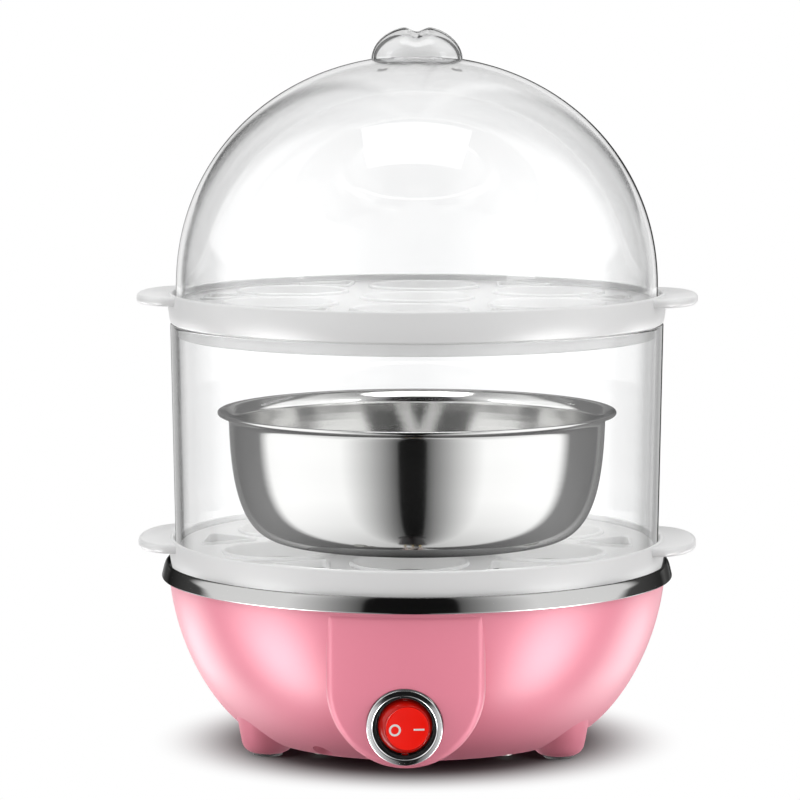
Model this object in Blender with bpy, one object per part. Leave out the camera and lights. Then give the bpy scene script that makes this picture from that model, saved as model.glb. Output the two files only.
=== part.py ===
"""Two-tier household egg boiler: base with a switch, heating pan, two egg trays, collar, bowl and dome lid.

Metres, +Z up, the switch faces -Y. The origin is on the floor below the middle of the base.
"""

import math

import bmesh
import bpy
from mathutils import Matrix, Vector

MM = 0.001

# Gaps, overruns and facets that all pieces share
SEAT_GAP = 0.3 * MM
FIT_GAP = 0.4 * MM
OVERRUN = 3.0 * MM
SUNK = 0.6 * MM
MERGE = 0.002 * MM
SMOOTH_ANGLE = math.radians(32)
BODY_STEPS = 32
BOWL_STEPS = 28
SMALL_STEPS = 16
SEAT_STEPS = 12
FINE_STEPS = 8

# Egg tray, two of the same moulding
TRAY_R = 82.0 * MM
TRAY_WALL = 1.6 * MM
TRAY_WALL_HEIGHT = 10.0 * MM
TRAY_SHOULDER_TUCK = 0.8 * MM
TRAY_RIM_ROUND = 0.4 * MM
DECK_DROP = 2.4 * MM
SKIRT_DROP = 4.3 * MM
SEAT_WEB = 11.8 * MM
SEAT_EDGE = 11.3 * MM
SEAT_TAPER = 2.4 * MM
SEAT_RIM_WIDTH = 1.3 * MM
SEAT_RIM_RISE = 1.0 * MM
SEAT_DEPTH = 5.0 * MM
OUTER_SEATS = 6
VENT_PAST_PITCH = 4.5 * MM
VENT_EDGE = 9.9 * MM
VENT_HALF_ANGLE = math.radians(6.5)
VENT_CORNER_R = 1.8 * MM
VENT_CORNER_TURN = math.radians(60)
EAR_REACH = 10.5 * MM
EAR_HALF_WIDTH = 27.0 * MM
EAR_THICKNESS = 3.0 * MM
EAR_DROP = 0.3 * MM
EAR_FLATNESS = 3.0
EAR_ROUNDNESS = 2.0
EAR_STEPS = 8

# Clear collar between the trays
COLLAR_WALL = 1.4 * MM
COLLAR_HEIGHT = 72.8 * MM
COLLAR_FLARE = 1.3 * MM
SKIRT_SLACK = 1.2 * MM

# Heating pan with its rolled rim, and the seal under it
PAN_SHEET = 0.6 * MM
PAN_DEPTH = 19.0 * MM
PAN_DRAFT = 2.2 * MM
PAN_CORNER_R = 9.0 * MM
PAN_SIDE_GAP = 0.6 * MM
ROLL_SLACK = 0.5 * MM
ROLL_WIDTH = 2.2 * MM
ROLL_RISE = 2.5 * MM
ROLL_TUCK = 1.2 * MM
SEAL_THICKNESS = 1.0 * MM
SEAL_WIDTH = 1.4 * MM

# Base shell: side curve, tongue for the switch, feet and inner posts
SHELL_TOP_Z = 56.5 * MM
SHELL_BOTTOM_Z = 2.6 * MM
SHELL_WALL = 2.0 * MM
SHELL_SIDE_IN = 2.2 * MM
SHELL_SIDE_Z = 27.6 * MM
SHELL_TURN_IN = 20.8 * MM
SHELL_FLAT_IN = 34.1 * MM
SHELL_CURVE_STEPS = 6
TONGUE_HALF_WIDTH = 25.0 * MM
TONGUE_BOTTOM_Z = 6.1 * MM
TONGUE_PROUD = 0.2 * MM
TONGUE_LEAN = 0.04
TONGUE_EDGE_R = 2.4 * MM
TONGUE_EDGE_STEPS = 2
TONGUE_ROUND_STEPS = 10
TONGUE_STEPS_ACROSS = 4
TONGUE_STEPS_DOWN = 3
TONGUE_LOOP_SHARES = (0.5,)
TONGUE_ROOT_DEPTH = 34.0 * MM
FOOT_SIDE_IN = 0.6 * MM
FOOT_END_IN = 20.0 * MM
FOOT_R = 8.7 * MM
FOOT_TAPER = 0.9 * MM
FOOT_CORNER_R = 3.6 * MM
FOOT_HEIGHT = 19.0 * MM
PAD_STAND = 0.9 * MM
PAD_R = 4.8 * MM
PAD_RECESS = 0.9 * MM

# Bottom cover, its ledge in the shell and its screws
LEDGE_WIDTH = 4.5 * MM
LEDGE_THICKNESS = 2.2 * MM
LEDGE_MARGIN = 2.6 * MM
COVER_THICKNESS = 1.9 * MM
COVER_SLOT_WIDTH = 2.4 * MM
COVER_SLOT_PITCH = 6.0 * MM
COVER_SLOT_LENGTH = 34.0 * MM
COVER_SLOTS = 5
COVER_BOSS_R = 3.6 * MM
COVER_BOSS_HEIGHT = 10.0 * MM
COVER_BOSS_IN = 3.0 * MM
COVER_BOSS_ANGLE = math.radians(45)
COVER_SCREWS = 4
SCREW_SHANK_R = 1.1 * MM
SCREW_HEAD_R = 2.7 * MM
SCREW_HEAD_HEIGHT = 1.4 * MM
SCREW_HEAD_TAPER_SHARE = 0.8
SCREW_LENGTH = 8.0 * MM

# Posts that carry the pan, with long screws from below
PAN_POSTS = 3
PAN_POST_IN = 23.0 * MM
PAN_POST_R = 4.2 * MM
PAN_NUT_R = 3.5 * MM
PAN_NUT_LENGTH = 6.8 * MM
PAN_NUT_BLIND = 1.0 * MM
PAN_SCREW_R = 1.5 * MM
PAN_SCREW_HEAD_R = 2.9 * MM
PAN_SCREW_HEAD_HEIGHT = 2.0 * MM
PAN_SCREW_GRIP = 4.5 * MM
PAN_SCREW_SEAT_Z = 14.0 * MM

# Heater, clamp bar, thermostat and thermal fuse under the pan
PLATE_IN = 31.0 * MM
PLATE_THICKNESS = 2.0 * MM
STUD_OUT = 10.0 * MM
STUD_R = 1.9 * MM
STUD_PAST_NUT = 1.5 * MM
TUBE_RING_IN = 6.0 * MM
TUBE_R = 3.3 * MM
TUBE_GAP_ANGLE = math.radians(50)
TUBE_STEPS = 18
PIN_R = 1.4 * MM
PIN_LENGTH = 8.0 * MM
BAR_THICKNESS = 1.2 * MM
BAR_WIDTH = 12.0 * MM
BAR_OVER_TUBE = 4.0 * MM
BAR_HUB_R = 12.0 * MM
NUT_ACROSS_FLATS = 7.0 * MM
NUT_HEIGHT = 3.0 * MM
THERMOSTAT_R = 8.0 * MM
THERMOSTAT_FLANGE_R = 10.5 * MM
THERMOSTAT_FLANGE = 1.6 * MM
THERMOSTAT_BODY_DROP = 10.0 * MM
BLADE_THICKNESS = 0.8 * MM
BLADE_WIDTH = 4.8 * MM
BLADE_LENGTH = 7.0 * MM
BLADE_SPREAD = 5.0 * MM
FUSE_R = 1.8 * MM
FUSE_LENGTH = 11.0 * MM
SLEEVE_WALL = 0.5 * MM
SLEEVE_OVERHANG = 3.0 * MM
SLEEVE_IN = 18.0 * MM

# Rocker switch
SWITCH_Z = 19.7 * MM
SWITCH_SEAT_IN = 1.0 * MM
HOUSING_R = 9.9 * MM
HOUSING_WALL = 0.8 * MM
HOUSING_FLANGE_WIDTH = 1.3 * MM
HOUSING_FLANGE = 0.8 * MM
HOUSING_DEPTH = 17.5 * MM
BEZEL_OVER_FLANGE = 0.8 * MM
BEZEL_LIP = 0.5 * MM
BEZEL_STEP = 1.0 * MM
BEZEL_THICKNESS = 1.8 * MM
BEZEL_ROUND = 0.6 * MM
ROCKER_CLEARANCE = 0.5 * MM
ROCKER_FACE = 4.9 * MM
ROCKER_BACK = 3.0 * MM
ROCKER_DISH = 0.4 * MM
ROCKER_BELOW_BEZEL = 4.4 * MM
ROCKER_THROW = math.radians(22)
ROCKER_AXLE_R = 1.0 * MM
ROCKER_AXLE_REACH = 0.6 * MM
LAMP_R = 1.6 * MM
LAMP_LENGTH = 6.0 * MM

# Cord inlet at the back
INLET_Z = 27.0 * MM
INLET_FACE_IN = 2.8 * MM
INLET_BOSS_R = 8.6 * MM
INLET_BOSS_DEPTH = 12.0 * MM
GROMMET_FLANGE_R = 6.9 * MM
GROMMET_FLANGE = 1.5 * MM
GROMMET_R = 4.9 * MM
GROMMET_BORE_R = 3.3 * MM
GROMMET_DEPTH = 7.0 * MM
GROMMET_ROUND = 0.5 * MM

# Inner wires and their crimp caps
WIRE_R = 1.1 * MM
WIRE_POINTS = 9
CRIMP_R = 3.0 * MM
CRIMP_LENGTH = 10.0 * MM
CRIMP_NOSE_SHARE = 0.6
CRIMP_X = 14.0 * MM
CRIMP_OUT = 2.5 * MM
WIRE_FLOOR_LIFT = 2.5 * MM
WIRE_RUN_IN = 18.5 * MM

# Steel bowl
BOWL_ROOM = 12.6 * MM
BOWL_RIM_WIDTH = 3.7 * MM
BOWL_DRAFT = 1.6 * MM
BOWL_HEIGHT = 43.0 * MM
BOWL_CORNER_R = 20.0 * MM
BOWL_SHEET = 0.8 * MM
BOWL_RIM_DROP = 2.8 * MM
BOWL_BEAD = 1.3 * MM

# Dome lid and its knob
DOME_WALL = 1.5 * MM
DOME_SKIRT = 4.0 * MM
DOME_RISE = 75.6 * MM
DOME_FULLNESS = 2.06
DOME_STEPS = 6
KNOB_HALF_WIDTH = 15.0 * MM
KNOB_HALF_DEPTH = 9.0 * MM
KNOB_HEIGHT = 11.3 * MM
KNOB_WALL = 1.6 * MM
KNOB_CROWN = 3.4 * MM
KNOB_STEPS = 4
NOTCH_R = 2.8 * MM
NOTCH_DEPTH = 1.9 * MM
STEAM_HOLE_R = 1.8 * MM
STEAM_HOLE_OUT = 22.0 * MM
STEAM_HOLE_ANGLE = math.radians(35)

# Levels, from the floor up
PAN_SEAT_Z = SHELL_TOP_Z + SEAT_GAP + SEAL_THICKNESS + SEAT_GAP + PAN_SHEET
PAN_FLOOR_Z = PAN_SEAT_Z - PAN_DEPTH
LOWER_RIM_Z = PAN_SEAT_Z + SEAT_GAP + TRAY_WALL_HEIGHT
COLLAR_Z = LOWER_RIM_Z - DECK_DROP + SEAT_GAP
UPPER_RIM_Z = COLLAR_Z + COLLAR_HEIGHT + SEAT_GAP + TRAY_WALL_HEIGHT
DOME_Z = UPPER_RIM_Z - DECK_DROP + SEAT_GAP
BOWL_Z = LOWER_RIM_Z - DECK_DROP + SEAT_RIM_RISE + SEAT_GAP

# Radii, from the tray's wall inwards and outwards
RIM_INNER_R = TRAY_R - TRAY_WALL
COLLAR_BOTTOM_R = RIM_INNER_R - FIT_GAP
COLLAR_TOP_R = COLLAR_BOTTOM_R + COLLAR_FLARE
SKIRT_R = COLLAR_TOP_R - COLLAR_WALL - SKIRT_SLACK
PAN_WALL_R = SKIRT_R + SEAT_GAP
SHELL_TOP_R = PAN_WALL_R + PAN_SHEET + PAN_SIDE_GAP + SHELL_WALL
SHELL_FLAT_R = SHELL_TOP_R - SHELL_FLAT_IN
ROLL_INNER_R = max(TRAY_R + ROLL_SLACK, SHELL_TOP_R + SEAT_GAP)
DOME_R = RIM_INNER_R - FIT_GAP - COLLAR_FLARE / 2
BOWL_RIM_R = COLLAR_BOTTOM_R - COLLAR_WALL - BOWL_ROOM
BOWL_TOP_R = BOWL_RIM_R - BOWL_RIM_WIDTH

# Seats and vents: one seat in the middle and a ring of six that nearly touch it and each other
SEAT_PITCH_R = (RIM_INNER_R - SEAT_EDGE + SEAT_WEB / 2) / 1.5
SEAT_RIM_R = (SEAT_PITCH_R - SEAT_WEB) / 2
SEAT_MOUTH_R = SEAT_RIM_R - SEAT_RIM_WIDTH
SEAT_HOLE_R = SEAT_MOUTH_R - SEAT_TAPER
VENT_INNER_R = SEAT_PITCH_R + VENT_PAST_PITCH
VENT_OUTER_R = RIM_INNER_R - VENT_EDGE

# Places that several pieces share
FOOT_X = SHELL_FLAT_R - FOOT_SIDE_IN
FOOT_Y = SHELL_FLAT_R - FOOT_END_IN
PAN_POST_PITCH_R = PAN_WALL_R - PAN_POST_IN
PLATE_R = PAN_WALL_R - PLATE_IN
STUD_X = BAR_HUB_R + STUD_OUT
TUBE_RING_R = PLATE_R - TUBE_RING_IN
SLEEVE_Y = TUBE_RING_R - SLEEVE_IN
INLET_FACE_Y = SHELL_TOP_R - INLET_FACE_IN
PLATE_TOP_Z = PAN_FLOOR_Z - PAN_SHEET - SEAT_GAP
PLATE_BOTTOM_Z = PLATE_TOP_Z - PLATE_THICKNESS
TUBE_Z = PLATE_BOTTOM_Z - SEAT_GAP - TUBE_R
BAR_TOP_Z = TUBE_Z - TUBE_R - SEAT_GAP
NUT_TOP_Z = BAR_TOP_Z - BAR_THICKNESS - SEAT_GAP
LEDGE_R = SHELL_FLAT_R - LEDGE_MARGIN
LEDGE_Z = SHELL_BOTTOM_Z + COVER_THICKNESS + SEAT_GAP
LEDGE_TOP_Z = LEDGE_Z + LEDGE_THICKNESS
COVER_BOSS_PITCH_R = LEDGE_R - COVER_BOSS_IN
THERMOSTAT_BOTTOM_Z = BAR_TOP_Z - THERMOSTAT_BODY_DROP
TONGUE_TOP_Z = SHELL_TOP_Z - SUNK - SEAT_GAP
TONGUE_FACE_OUT = SHELL_TOP_R + TONGUE_PROUD
TONGUE_MIDDLE_Z = TONGUE_BOTTOM_Z + TONGUE_HALF_WIDTH
WELL_R = HOUSING_R - HOUSING_WALL
HOUSING_FLANGE_R = HOUSING_R + HOUSING_FLANGE_WIDTH
BEZEL_R = HOUSING_FLANGE_R + BEZEL_OVER_FLANGE
BEZEL_BORE_R = WELL_R + BEZEL_STEP
ROCKER_R = WELL_R - ROCKER_CLEARANCE
SWITCH_SEAT_OUT = TONGUE_FACE_OUT - TONGUE_LEAN * (TONGUE_TOP_Z - SWITCH_Z) - SWITCH_SEAT_IN
HOUSING_BACK_OUT = SWITCH_SEAT_OUT - HOUSING_DEPTH
BEZEL_BACK_OUT = SWITCH_SEAT_OUT + SEAT_GAP + HOUSING_FLANGE + SEAT_GAP
ROCKER_OUT = BEZEL_BACK_OUT + BEZEL_THICKNESS - ROCKER_BELOW_BEZEL
WELL_FLOOR_OUT = ROCKER_OUT - ROCKER_R + SEAT_GAP
CRIMP_Z = LEDGE_TOP_Z + WIRE_FLOOR_LIFT + CRIMP_R
CRIMP_Y = LEDGE_R + CRIMP_OUT
WIRE_RUN_X = LEDGE_R - WIRE_RUN_IN


def clear_scene():
    for old in list(bpy.data.objects):
        bpy.data.objects.remove(old, do_unlink=True)


def finish_of(name, colour, roughness, metallic=0.0, transmission=0.0):
    """A Principled material of this name, made once."""
    found = bpy.data.materials.get(name)
    if found:
        return found
    made = bpy.data.materials.new(name)
    made.use_nodes = True
    shader = made.node_tree.nodes["Principled BSDF"]
    shader.inputs["Base Color"].default_value = (*colour, 1.0)
    shader.inputs["Roughness"].default_value = roughness
    shader.inputs["Metallic"].default_value = metallic
    shader.inputs["Transmission Weight"].default_value = transmission
    made.diffuse_color = (*colour, 1.0 - transmission * 0.6)
    return made


def pink_plastic():
    return finish_of("pink_plastic", (0.95, 0.42, 0.53), 0.22)


def white_plastic():
    return finish_of("white_plastic", (0.88, 0.88, 0.88), 0.35)


def clear_plastic():
    return finish_of("clear_plastic", (0.96, 0.97, 0.97), 0.04, transmission=1.0)


def black_plastic():
    return finish_of("black_plastic", (0.015, 0.015, 0.017), 0.3)


def red_plastic():
    return finish_of("red_plastic", (0.9, 0.03, 0.01), 0.2)


def polished_steel():
    return finish_of("polished_steel", (0.78, 0.78, 0.77), 0.1, metallic=1.0)


def zinc_steel():
    return finish_of("zinc_steel", (0.6, 0.6, 0.58), 0.35, metallic=1.0)


def aluminium():
    return finish_of("aluminium", (0.7, 0.7, 0.71), 0.45, metallic=1.0)


def brass():
    return finish_of("brass", (0.75, 0.55, 0.2), 0.35, metallic=1.0)


def rubber():
    return finish_of("rubber", (0.03, 0.03, 0.03), 0.8)


def silicone():
    return finish_of("silicone", (0.75, 0.74, 0.7), 0.6)


def ceramic():
    return finish_of("ceramic", (0.82, 0.78, 0.7), 0.6)


def woven_sleeve():
    return finish_of("woven_sleeve", (0.7, 0.6, 0.35), 0.8)


def wire_sheath():
    return finish_of("wire_sheath", (0.75, 0.72, 0.66), 0.5)


def place(name, bm, material=None):
    """Turns a bmesh into an object of this name, closed and facing out."""
    bmesh.ops.remove_doubles(bm, verts=bm.verts, dist=MERGE)
    bmesh.ops.recalc_face_normals(bm, faces=bm.faces)
    mesh = bpy.data.meshes.new(name)
    bm.to_mesh(mesh)
    bm.free()
    mesh.shade_smooth()
    mesh.set_sharp_from_angle(angle=SMOOTH_ANGLE)
    obj = bpy.data.objects.new(name, mesh)
    bpy.context.scene.collection.objects.link(obj)
    if material:
        mesh.materials.append(material)
    return obj


def tool(name, bm):
    """A helper solid for a Boolean, which isn't part of the model."""
    obj = place(name, bm)
    obj.hide_render = True
    obj.display_type = "WIRE"
    return obj


def combine(obj, operation, *others, solver="EXACT"):
    for other in others:
        step = obj.modifiers.new(other.name, "BOOLEAN")
        step.operation = operation
        step.solver = solver
        step.object = other


def revolve(profile, steps):
    """Spins a profile of (radius, height) pairs about +Z. Its ends lie on the axis, or it is closed."""
    bm = bmesh.new()
    verts = [bm.verts.new((r, 0.0, z)) for r, z in profile]
    pairs = list(zip(verts, verts[1:]))
    if profile[0][0] > 0.0 or profile[-1][0] > 0.0:
        pairs.append((verts[-1], verts[0]))
    edges = [bm.edges.new(pair) for pair in pairs]
    bmesh.ops.spin(bm, geom=verts + edges, cent=(0, 0, 0), axis=(0, 0, 1), angle=math.tau, steps=steps)
    return bm


def prism(outline, low, high):
    """Extrudes an outline of (x, y) pairs from one height to another."""
    bm = bmesh.new()
    face = bm.faces.new([bm.verts.new((x, y, low)) for x, y in outline])
    grown = bmesh.ops.extrude_face_region(bm, geom=[face])["geom"]
    lift = Vector((0, 0, high - low))
    bmesh.ops.translate(bm, vec=lift, verts=[v for v in grown if isinstance(v, bmesh.types.BMVert)])
    return bm


def block(low, high):
    """A box between two corners."""
    corners = ((low[0], low[1]), (high[0], low[1]), (high[0], high[1]), (low[0], high[1]))
    return prism(corners, low[2], high[2])


def moved(bm, x=0.0, y=0.0, z=0.0):
    bmesh.ops.translate(bm, vec=(x, y, z), verts=bm.verts)
    return bm


def faced_front(bm):
    """Turns a solid made about +Z so that its top looks to the front, -Y."""
    bmesh.ops.rotate(bm, cent=(0, 0, 0), matrix=Matrix.Rotation(math.pi / 2, 3, "X"), verts=bm.verts)
    return bm


def faced_back(bm):
    """Turns a solid made about +Z so that its top looks to the back, +Y."""
    bmesh.ops.rotate(bm, cent=(0, 0, 0), matrix=Matrix.Rotation(-math.pi / 2, 3, "X"), verts=bm.verts)
    return bm


def laid_along_x(bm):
    bmesh.ops.rotate(bm, cent=(0, 0, 0), matrix=Matrix.Rotation(math.pi / 2, 3, "Y"), verts=bm.verts)
    return bm


def merged(parts):
    """Several closed solids that stay apart, in one bmesh."""
    whole = bmesh.new()
    for part in parts:
        mesh = bpy.data.meshes.new("piece")
        part.to_mesh(mesh)
        part.free()
        whole.from_mesh(mesh)
        bpy.data.meshes.remove(mesh)
    return whole


def rod(radius, low, high, steps=SMALL_STEPS):
    return revolve(((0.0, high), (radius, high), (radius, low), (0.0, low)), steps)


def ring(inner, outer, low, high, steps):
    return revolve(((outer, high), (outer, low), (inner, low), (inner, high)), steps)


def around(count, radius, first=0.0):
    """Places on a circle about the axis, as (x, y, angle)."""
    turns = [first + math.tau * k / count for k in range(count)]
    return [(radius * math.cos(turn), radius * math.sin(turn), turn) for turn in turns]


def arc(centre, radius, start, end, steps):
    turns = [start + (end - start) * k / steps for k in range(steps + 1)]
    return [(centre[0] + radius * math.cos(turn), centre[1] + radius * math.sin(turn)) for turn in turns]


def bezier(p0, p1, p2, p3, steps):
    points = []
    for k in range(steps + 1):
        t = k / steps
        s = 1 - t
        weights = (s**3, 3 * s * s * t, 3 * s * t * t, t**3)
        points.append(tuple(sum(w * p[i] for w, p in zip(weights, (p0, p1, p2, p3))) for i in (0, 1)))
    return points


def offset(points, distance):
    """Moves a line sideways, to its right as it runs, with square corners kept square."""
    out = []
    for k, (x, z) in enumerate(points):
        before = Vector(points[k]) - Vector(points[k - 1]) if k else None
        after = Vector(points[k + 1]) - Vector(points[k]) if k + 1 < len(points) else None
        first = (before or after).normalized()
        second = (after or before).normalized()
        side = (Vector((first.y, -first.x)) + Vector((second.y, -second.x))).normalized()
        reach = distance / max(side.dot(Vector((first.y, -first.x))), 0.3)
        out.append((x + side.x * reach, z + side.y * reach))
    return out


def radius_at(line, height):
    """The radius at which a line of (radius, height) pairs that runs down passes this height."""
    for (r0, z0), (r1, z1) in zip(line, line[1:]):
        if z1 <= height:
            return r0 + (r1 - r0) * (z0 - height) / (z0 - z1)
    return line[-1][0]


def smooth_route(points, count):
    """A Catmull-Rom curve through the points, with its first and last stretch left straight."""
    spans = len(points) - 3
    route = [points[0]]
    for k in range(count + 1):
        at = k * spans / count
        i = min(int(at), spans - 1)
        t = at - i
        a, b, c, d = points[i : i + 4]
        route.append(
            (b * 2 + (c - a) * t + (a * 2 - b * 5 + c * 4 - d) * t**2 + (b * 3 - a - c * 3 + d) * t**3) / 2
        )
    return route + [points[-1]]


def tube(name, route, radius, material):
    """A round tube along a route, with filled ends."""
    curve = bpy.data.curves.new(name, "CURVE")
    curve.dimensions = "3D"
    curve.bevel_depth = radius
    curve.bevel_resolution = 1
    curve.use_fill_caps = True
    line = curve.splines.new("POLY")
    line.points.add(len(route) - 1)
    for point, spot in zip(line.points, route):
        point.co = (*spot, 1.0)
    curve.materials.append(material)
    obj = bpy.data.objects.new(name, curve)
    bpy.context.scene.collection.objects.link(obj)
    return obj


def shell_side():
    """The base's outer side as (radius, height), from its top edge down to the flat underside."""
    return bezier(
        (SHELL_TOP_R, SHELL_TOP_Z),
        (SHELL_TOP_R - SHELL_SIDE_IN, SHELL_SIDE_Z),
        (SHELL_TOP_R - SHELL_TURN_IN, SHELL_BOTTOM_Z),
        (SHELL_FLAT_R, SHELL_BOTTOM_Z),
        SHELL_CURVE_STEPS,
    )


def tongue_face(x, z):
    """How far out the tongue's face stands at this place: crowned like the rim above it, leaning in below."""
    crown = TONGUE_FACE_OUT - math.sqrt(TONGUE_FACE_OUT**2 - x * x)
    return TONGUE_FACE_OUT - crown - TONGUE_LEAN * (TONGUE_TOP_Z - z)


def tongue_outline(inset):
    """The tongue seen from the front: straight top and sides and a round lower end, as (x, z)."""
    half = TONGUE_HALF_WIDTH - inset
    top = TONGUE_TOP_Z - inset
    lower = arc((0.0, TONGUE_MIDDLE_Z), half, 0.0, -math.pi, TONGUE_ROUND_STEPS)
    across = [half * (2 * k / TONGUE_STEPS_ACROSS - 1) for k in range(TONGUE_STEPS_ACROSS)]
    down = [top + (TONGUE_MIDDLE_Z - top) * k / TONGUE_STEPS_DOWN for k in range(TONGUE_STEPS_DOWN)]
    right = [(half, z) for z in down]
    left = [(-half, z) for z in reversed(down[1:])]
    return [(x, top) for x in across] + right + lower + left


def tongue(inset):
    """The tongue as a solid with a crowned face and a rounded front edge, shrunk by this much all round."""
    loops = [(tongue_outline(inset), TONGUE_ROOT_DEPTH)]
    for k in range(TONGUE_EDGE_STEPS + 1):
        turn = math.pi / 2 * k / TONGUE_EDGE_STEPS
        outline = tongue_outline(inset + TONGUE_EDGE_R * (1 - math.cos(turn)))
        loops.append((outline, inset + TONGUE_EDGE_R * (1 - math.sin(turn))))
    for share in TONGUE_LOOP_SHARES:
        loops.append(([(x * share, TONGUE_MIDDLE_Z + (z - TONGUE_MIDDLE_Z) * share) for x, z in outline], inset))
    bm = bmesh.new()
    made = [[bm.verts.new((x, depth - tongue_face(x, z), z)) for x, z in loop] for loop, depth in loops]
    for outer, inner in zip(made, made[1:]):
        for k in range(len(outer)):
            j = (k + 1) % len(outer)
            bm.faces.new((outer[k], outer[j], inner[j], inner[k]))
    for loop, depth in ((made[0], TONGUE_ROOT_DEPTH), (made[-1], inset)):
        middle = bm.verts.new((0.0, depth - tongue_face(0.0, TONGUE_MIDDLE_Z), TONGUE_MIDDLE_Z))
        for k in range(len(loop)):
            bm.faces.new((loop[k], loop[(k + 1) % len(loop)], middle))
    return bm


def foot(x, y):
    """A foot that grows down out of the shell, rounded at its lower edge."""
    low = PAD_STAND
    tip = FOOT_R - FOOT_TAPER
    corner = arc((tip - FOOT_CORNER_R, low + FOOT_CORNER_R), FOOT_CORNER_R, 0.0, -math.pi / 2, 3)
    profile = [(0.0, FOOT_HEIGHT), (FOOT_R, FOOT_HEIGHT)] + corner + [(0.0, low)]
    return moved(revolve(profile, SMALL_STEPS), x, y)


def feet_places():
    return [(sx * FOOT_X, sy * FOOT_Y) for sx in (-1, 1) for sy in (-1, 1)]


def make_base_shell():
    """The pink bowl with its tongue, feet, inlet boss and inner posts, as one moulding."""
    side = shell_side()
    solid = [(0.0, SHELL_TOP_Z)] + side + [(0.0, SHELL_BOTTOM_Z)]
    shell = place("base_shell", revolve(solid, BODY_STEPS), pink_plastic())
    wall_line = offset(side, SHELL_WALL)
    inner = [point for point in wall_line if point[1] > LEDGE_TOP_Z + SUNK]
    mouth = SHELL_TOP_R - SHELL_WALL
    inner[0] = (mouth, SHELL_TOP_Z)
    lip = LEDGE_R - LEDGE_WIDTH
    cavity = [(0.0, SHELL_TOP_Z + OVERRUN), (mouth, SHELL_TOP_Z + OVERRUN)] + inner
    floor_r = radius_at(wall_line, LEDGE_TOP_Z)
    cavity += [(floor_r, LEDGE_TOP_Z), (lip, LEDGE_TOP_Z), (lip, LEDGE_Z)]
    cavity += [(LEDGE_R, LEDGE_Z), (LEDGE_R, SHELL_BOTTOM_Z - OVERRUN), (0.0, SHELL_BOTTOM_Z - OVERRUN)]
    boss = faced_back(rod(INLET_BOSS_R, INLET_FACE_Y - INLET_BOSS_DEPTH, INLET_FACE_Y))
    combine(
        shell,
        "UNION",
        tool("tongue_solid", tongue(0.0)),
        tool("feet_solids", merged([foot(x, y) for x, y in feet_places()])),
        tool("inlet_boss", moved(boss, z=INLET_Z)),
        solver="MANIFOLD",
    )
    hollow = tool("shell_cavity", revolve(cavity, BODY_STEPS))
    combine(hollow, "UNION", tool("tongue_pocket", tongue(SHELL_WALL)), solver="MANIFOLD")
    combine(shell, "DIFFERENCE", hollow, solver="MANIFOLD")
    posts = []
    for x, y, _ in around(PAN_POSTS, PAN_POST_PITCH_R):
        top = PLATE_TOP_Z - PAN_NUT_LENGTH - SEAT_GAP
        posts.append(moved(rod(PAN_POST_R, LEDGE_TOP_Z - SUNK, top, FINE_STEPS), x, y))
    for x, y, _ in around(COVER_SCREWS, COVER_BOSS_PITCH_R, COVER_BOSS_ANGLE):
        top = LEDGE_Z + COVER_BOSS_HEIGHT
        posts.append(moved(rod(COVER_BOSS_R, LEDGE_Z + SUNK, top, FINE_STEPS), x, y))
    inner_posts = tool("inner_posts", merged(posts))
    limit = [(0.0, SHELL_TOP_Z)] + offset(side, SUNK) + [(0.0, SHELL_BOTTOM_Z + SUNK)]
    combine(inner_posts, "INTERSECT", tool("post_limit", revolve(limit, BODY_STEPS)), solver="MANIFOLD")
    combine(shell, "UNION", inner_posts, solver="MANIFOLD")
    combine(shell, "DIFFERENCE", tool("shell_holes", merged(shell_holes())), solver="MANIFOLD")
    return shell


def shell_holes():
    """Screw holes, foot recesses, the switch's hole and seat, and the cord inlet."""
    cuts = []
    for x, y, _ in around(PAN_POSTS, PAN_POST_PITCH_R):
        bore = PAN_SCREW_R + FIT_GAP
        recess = PAN_SCREW_HEAD_R + FIT_GAP
        top = PLATE_TOP_Z + OVERRUN
        profile = ((0.0, top), (bore, top), (bore, PAN_SCREW_SEAT_Z), (recess, PAN_SCREW_SEAT_Z))
        profile += ((recess, -OVERRUN), (0.0, -OVERRUN))
        cuts.append(moved(revolve(profile, FINE_STEPS), x, y))
    for x, y, _ in around(COVER_SCREWS, COVER_BOSS_PITCH_R, COVER_BOSS_ANGLE):
        top = SHELL_BOTTOM_Z + SCREW_LENGTH
        cuts.append(moved(rod(SCREW_SHANK_R + SEAT_GAP, SHELL_BOTTOM_Z, top, FINE_STEPS), x, y))
    for x, y in feet_places():
        cuts.append(moved(rod(PAD_R + SEAT_GAP, -OVERRUN, PAD_STAND + PAD_RECESS, FINE_STEPS), x, y))
    bore = HOUSING_R + SEAT_GAP
    seat = BEZEL_R + SEAT_GAP
    front = TONGUE_FACE_OUT + OVERRUN
    back = HOUSING_BACK_OUT
    profile = ((0.0, front), (seat, front), (seat, SWITCH_SEAT_OUT), (bore, SWITCH_SEAT_OUT))
    profile += ((bore, back), (0.0, back))
    cuts.append(moved(faced_front(revolve(profile, SMALL_STEPS)), z=SWITCH_Z))
    bore = GROMMET_R + SEAT_GAP
    seat = GROMMET_FLANGE_R + SEAT_GAP
    front = INLET_FACE_Y + INLET_BOSS_DEPTH
    back = INLET_FACE_Y - INLET_BOSS_DEPTH - OVERRUN
    profile = ((0.0, front), (seat, front), (seat, INLET_FACE_Y), (bore, INLET_FACE_Y), (bore, back), (0.0, back))
    cuts.append(moved(faced_back(revolve(profile, SMALL_STEPS)), z=INLET_Z))
    return cuts


def make_foot_pads():
    for number, (x, y) in enumerate(feet_places(), 1):
        top = PAD_STAND + PAD_RECESS - SEAT_GAP
        place(f"foot_pad_{number}", moved(rod(PAD_R, 0.0, top, FINE_STEPS), x, y), rubber())


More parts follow.
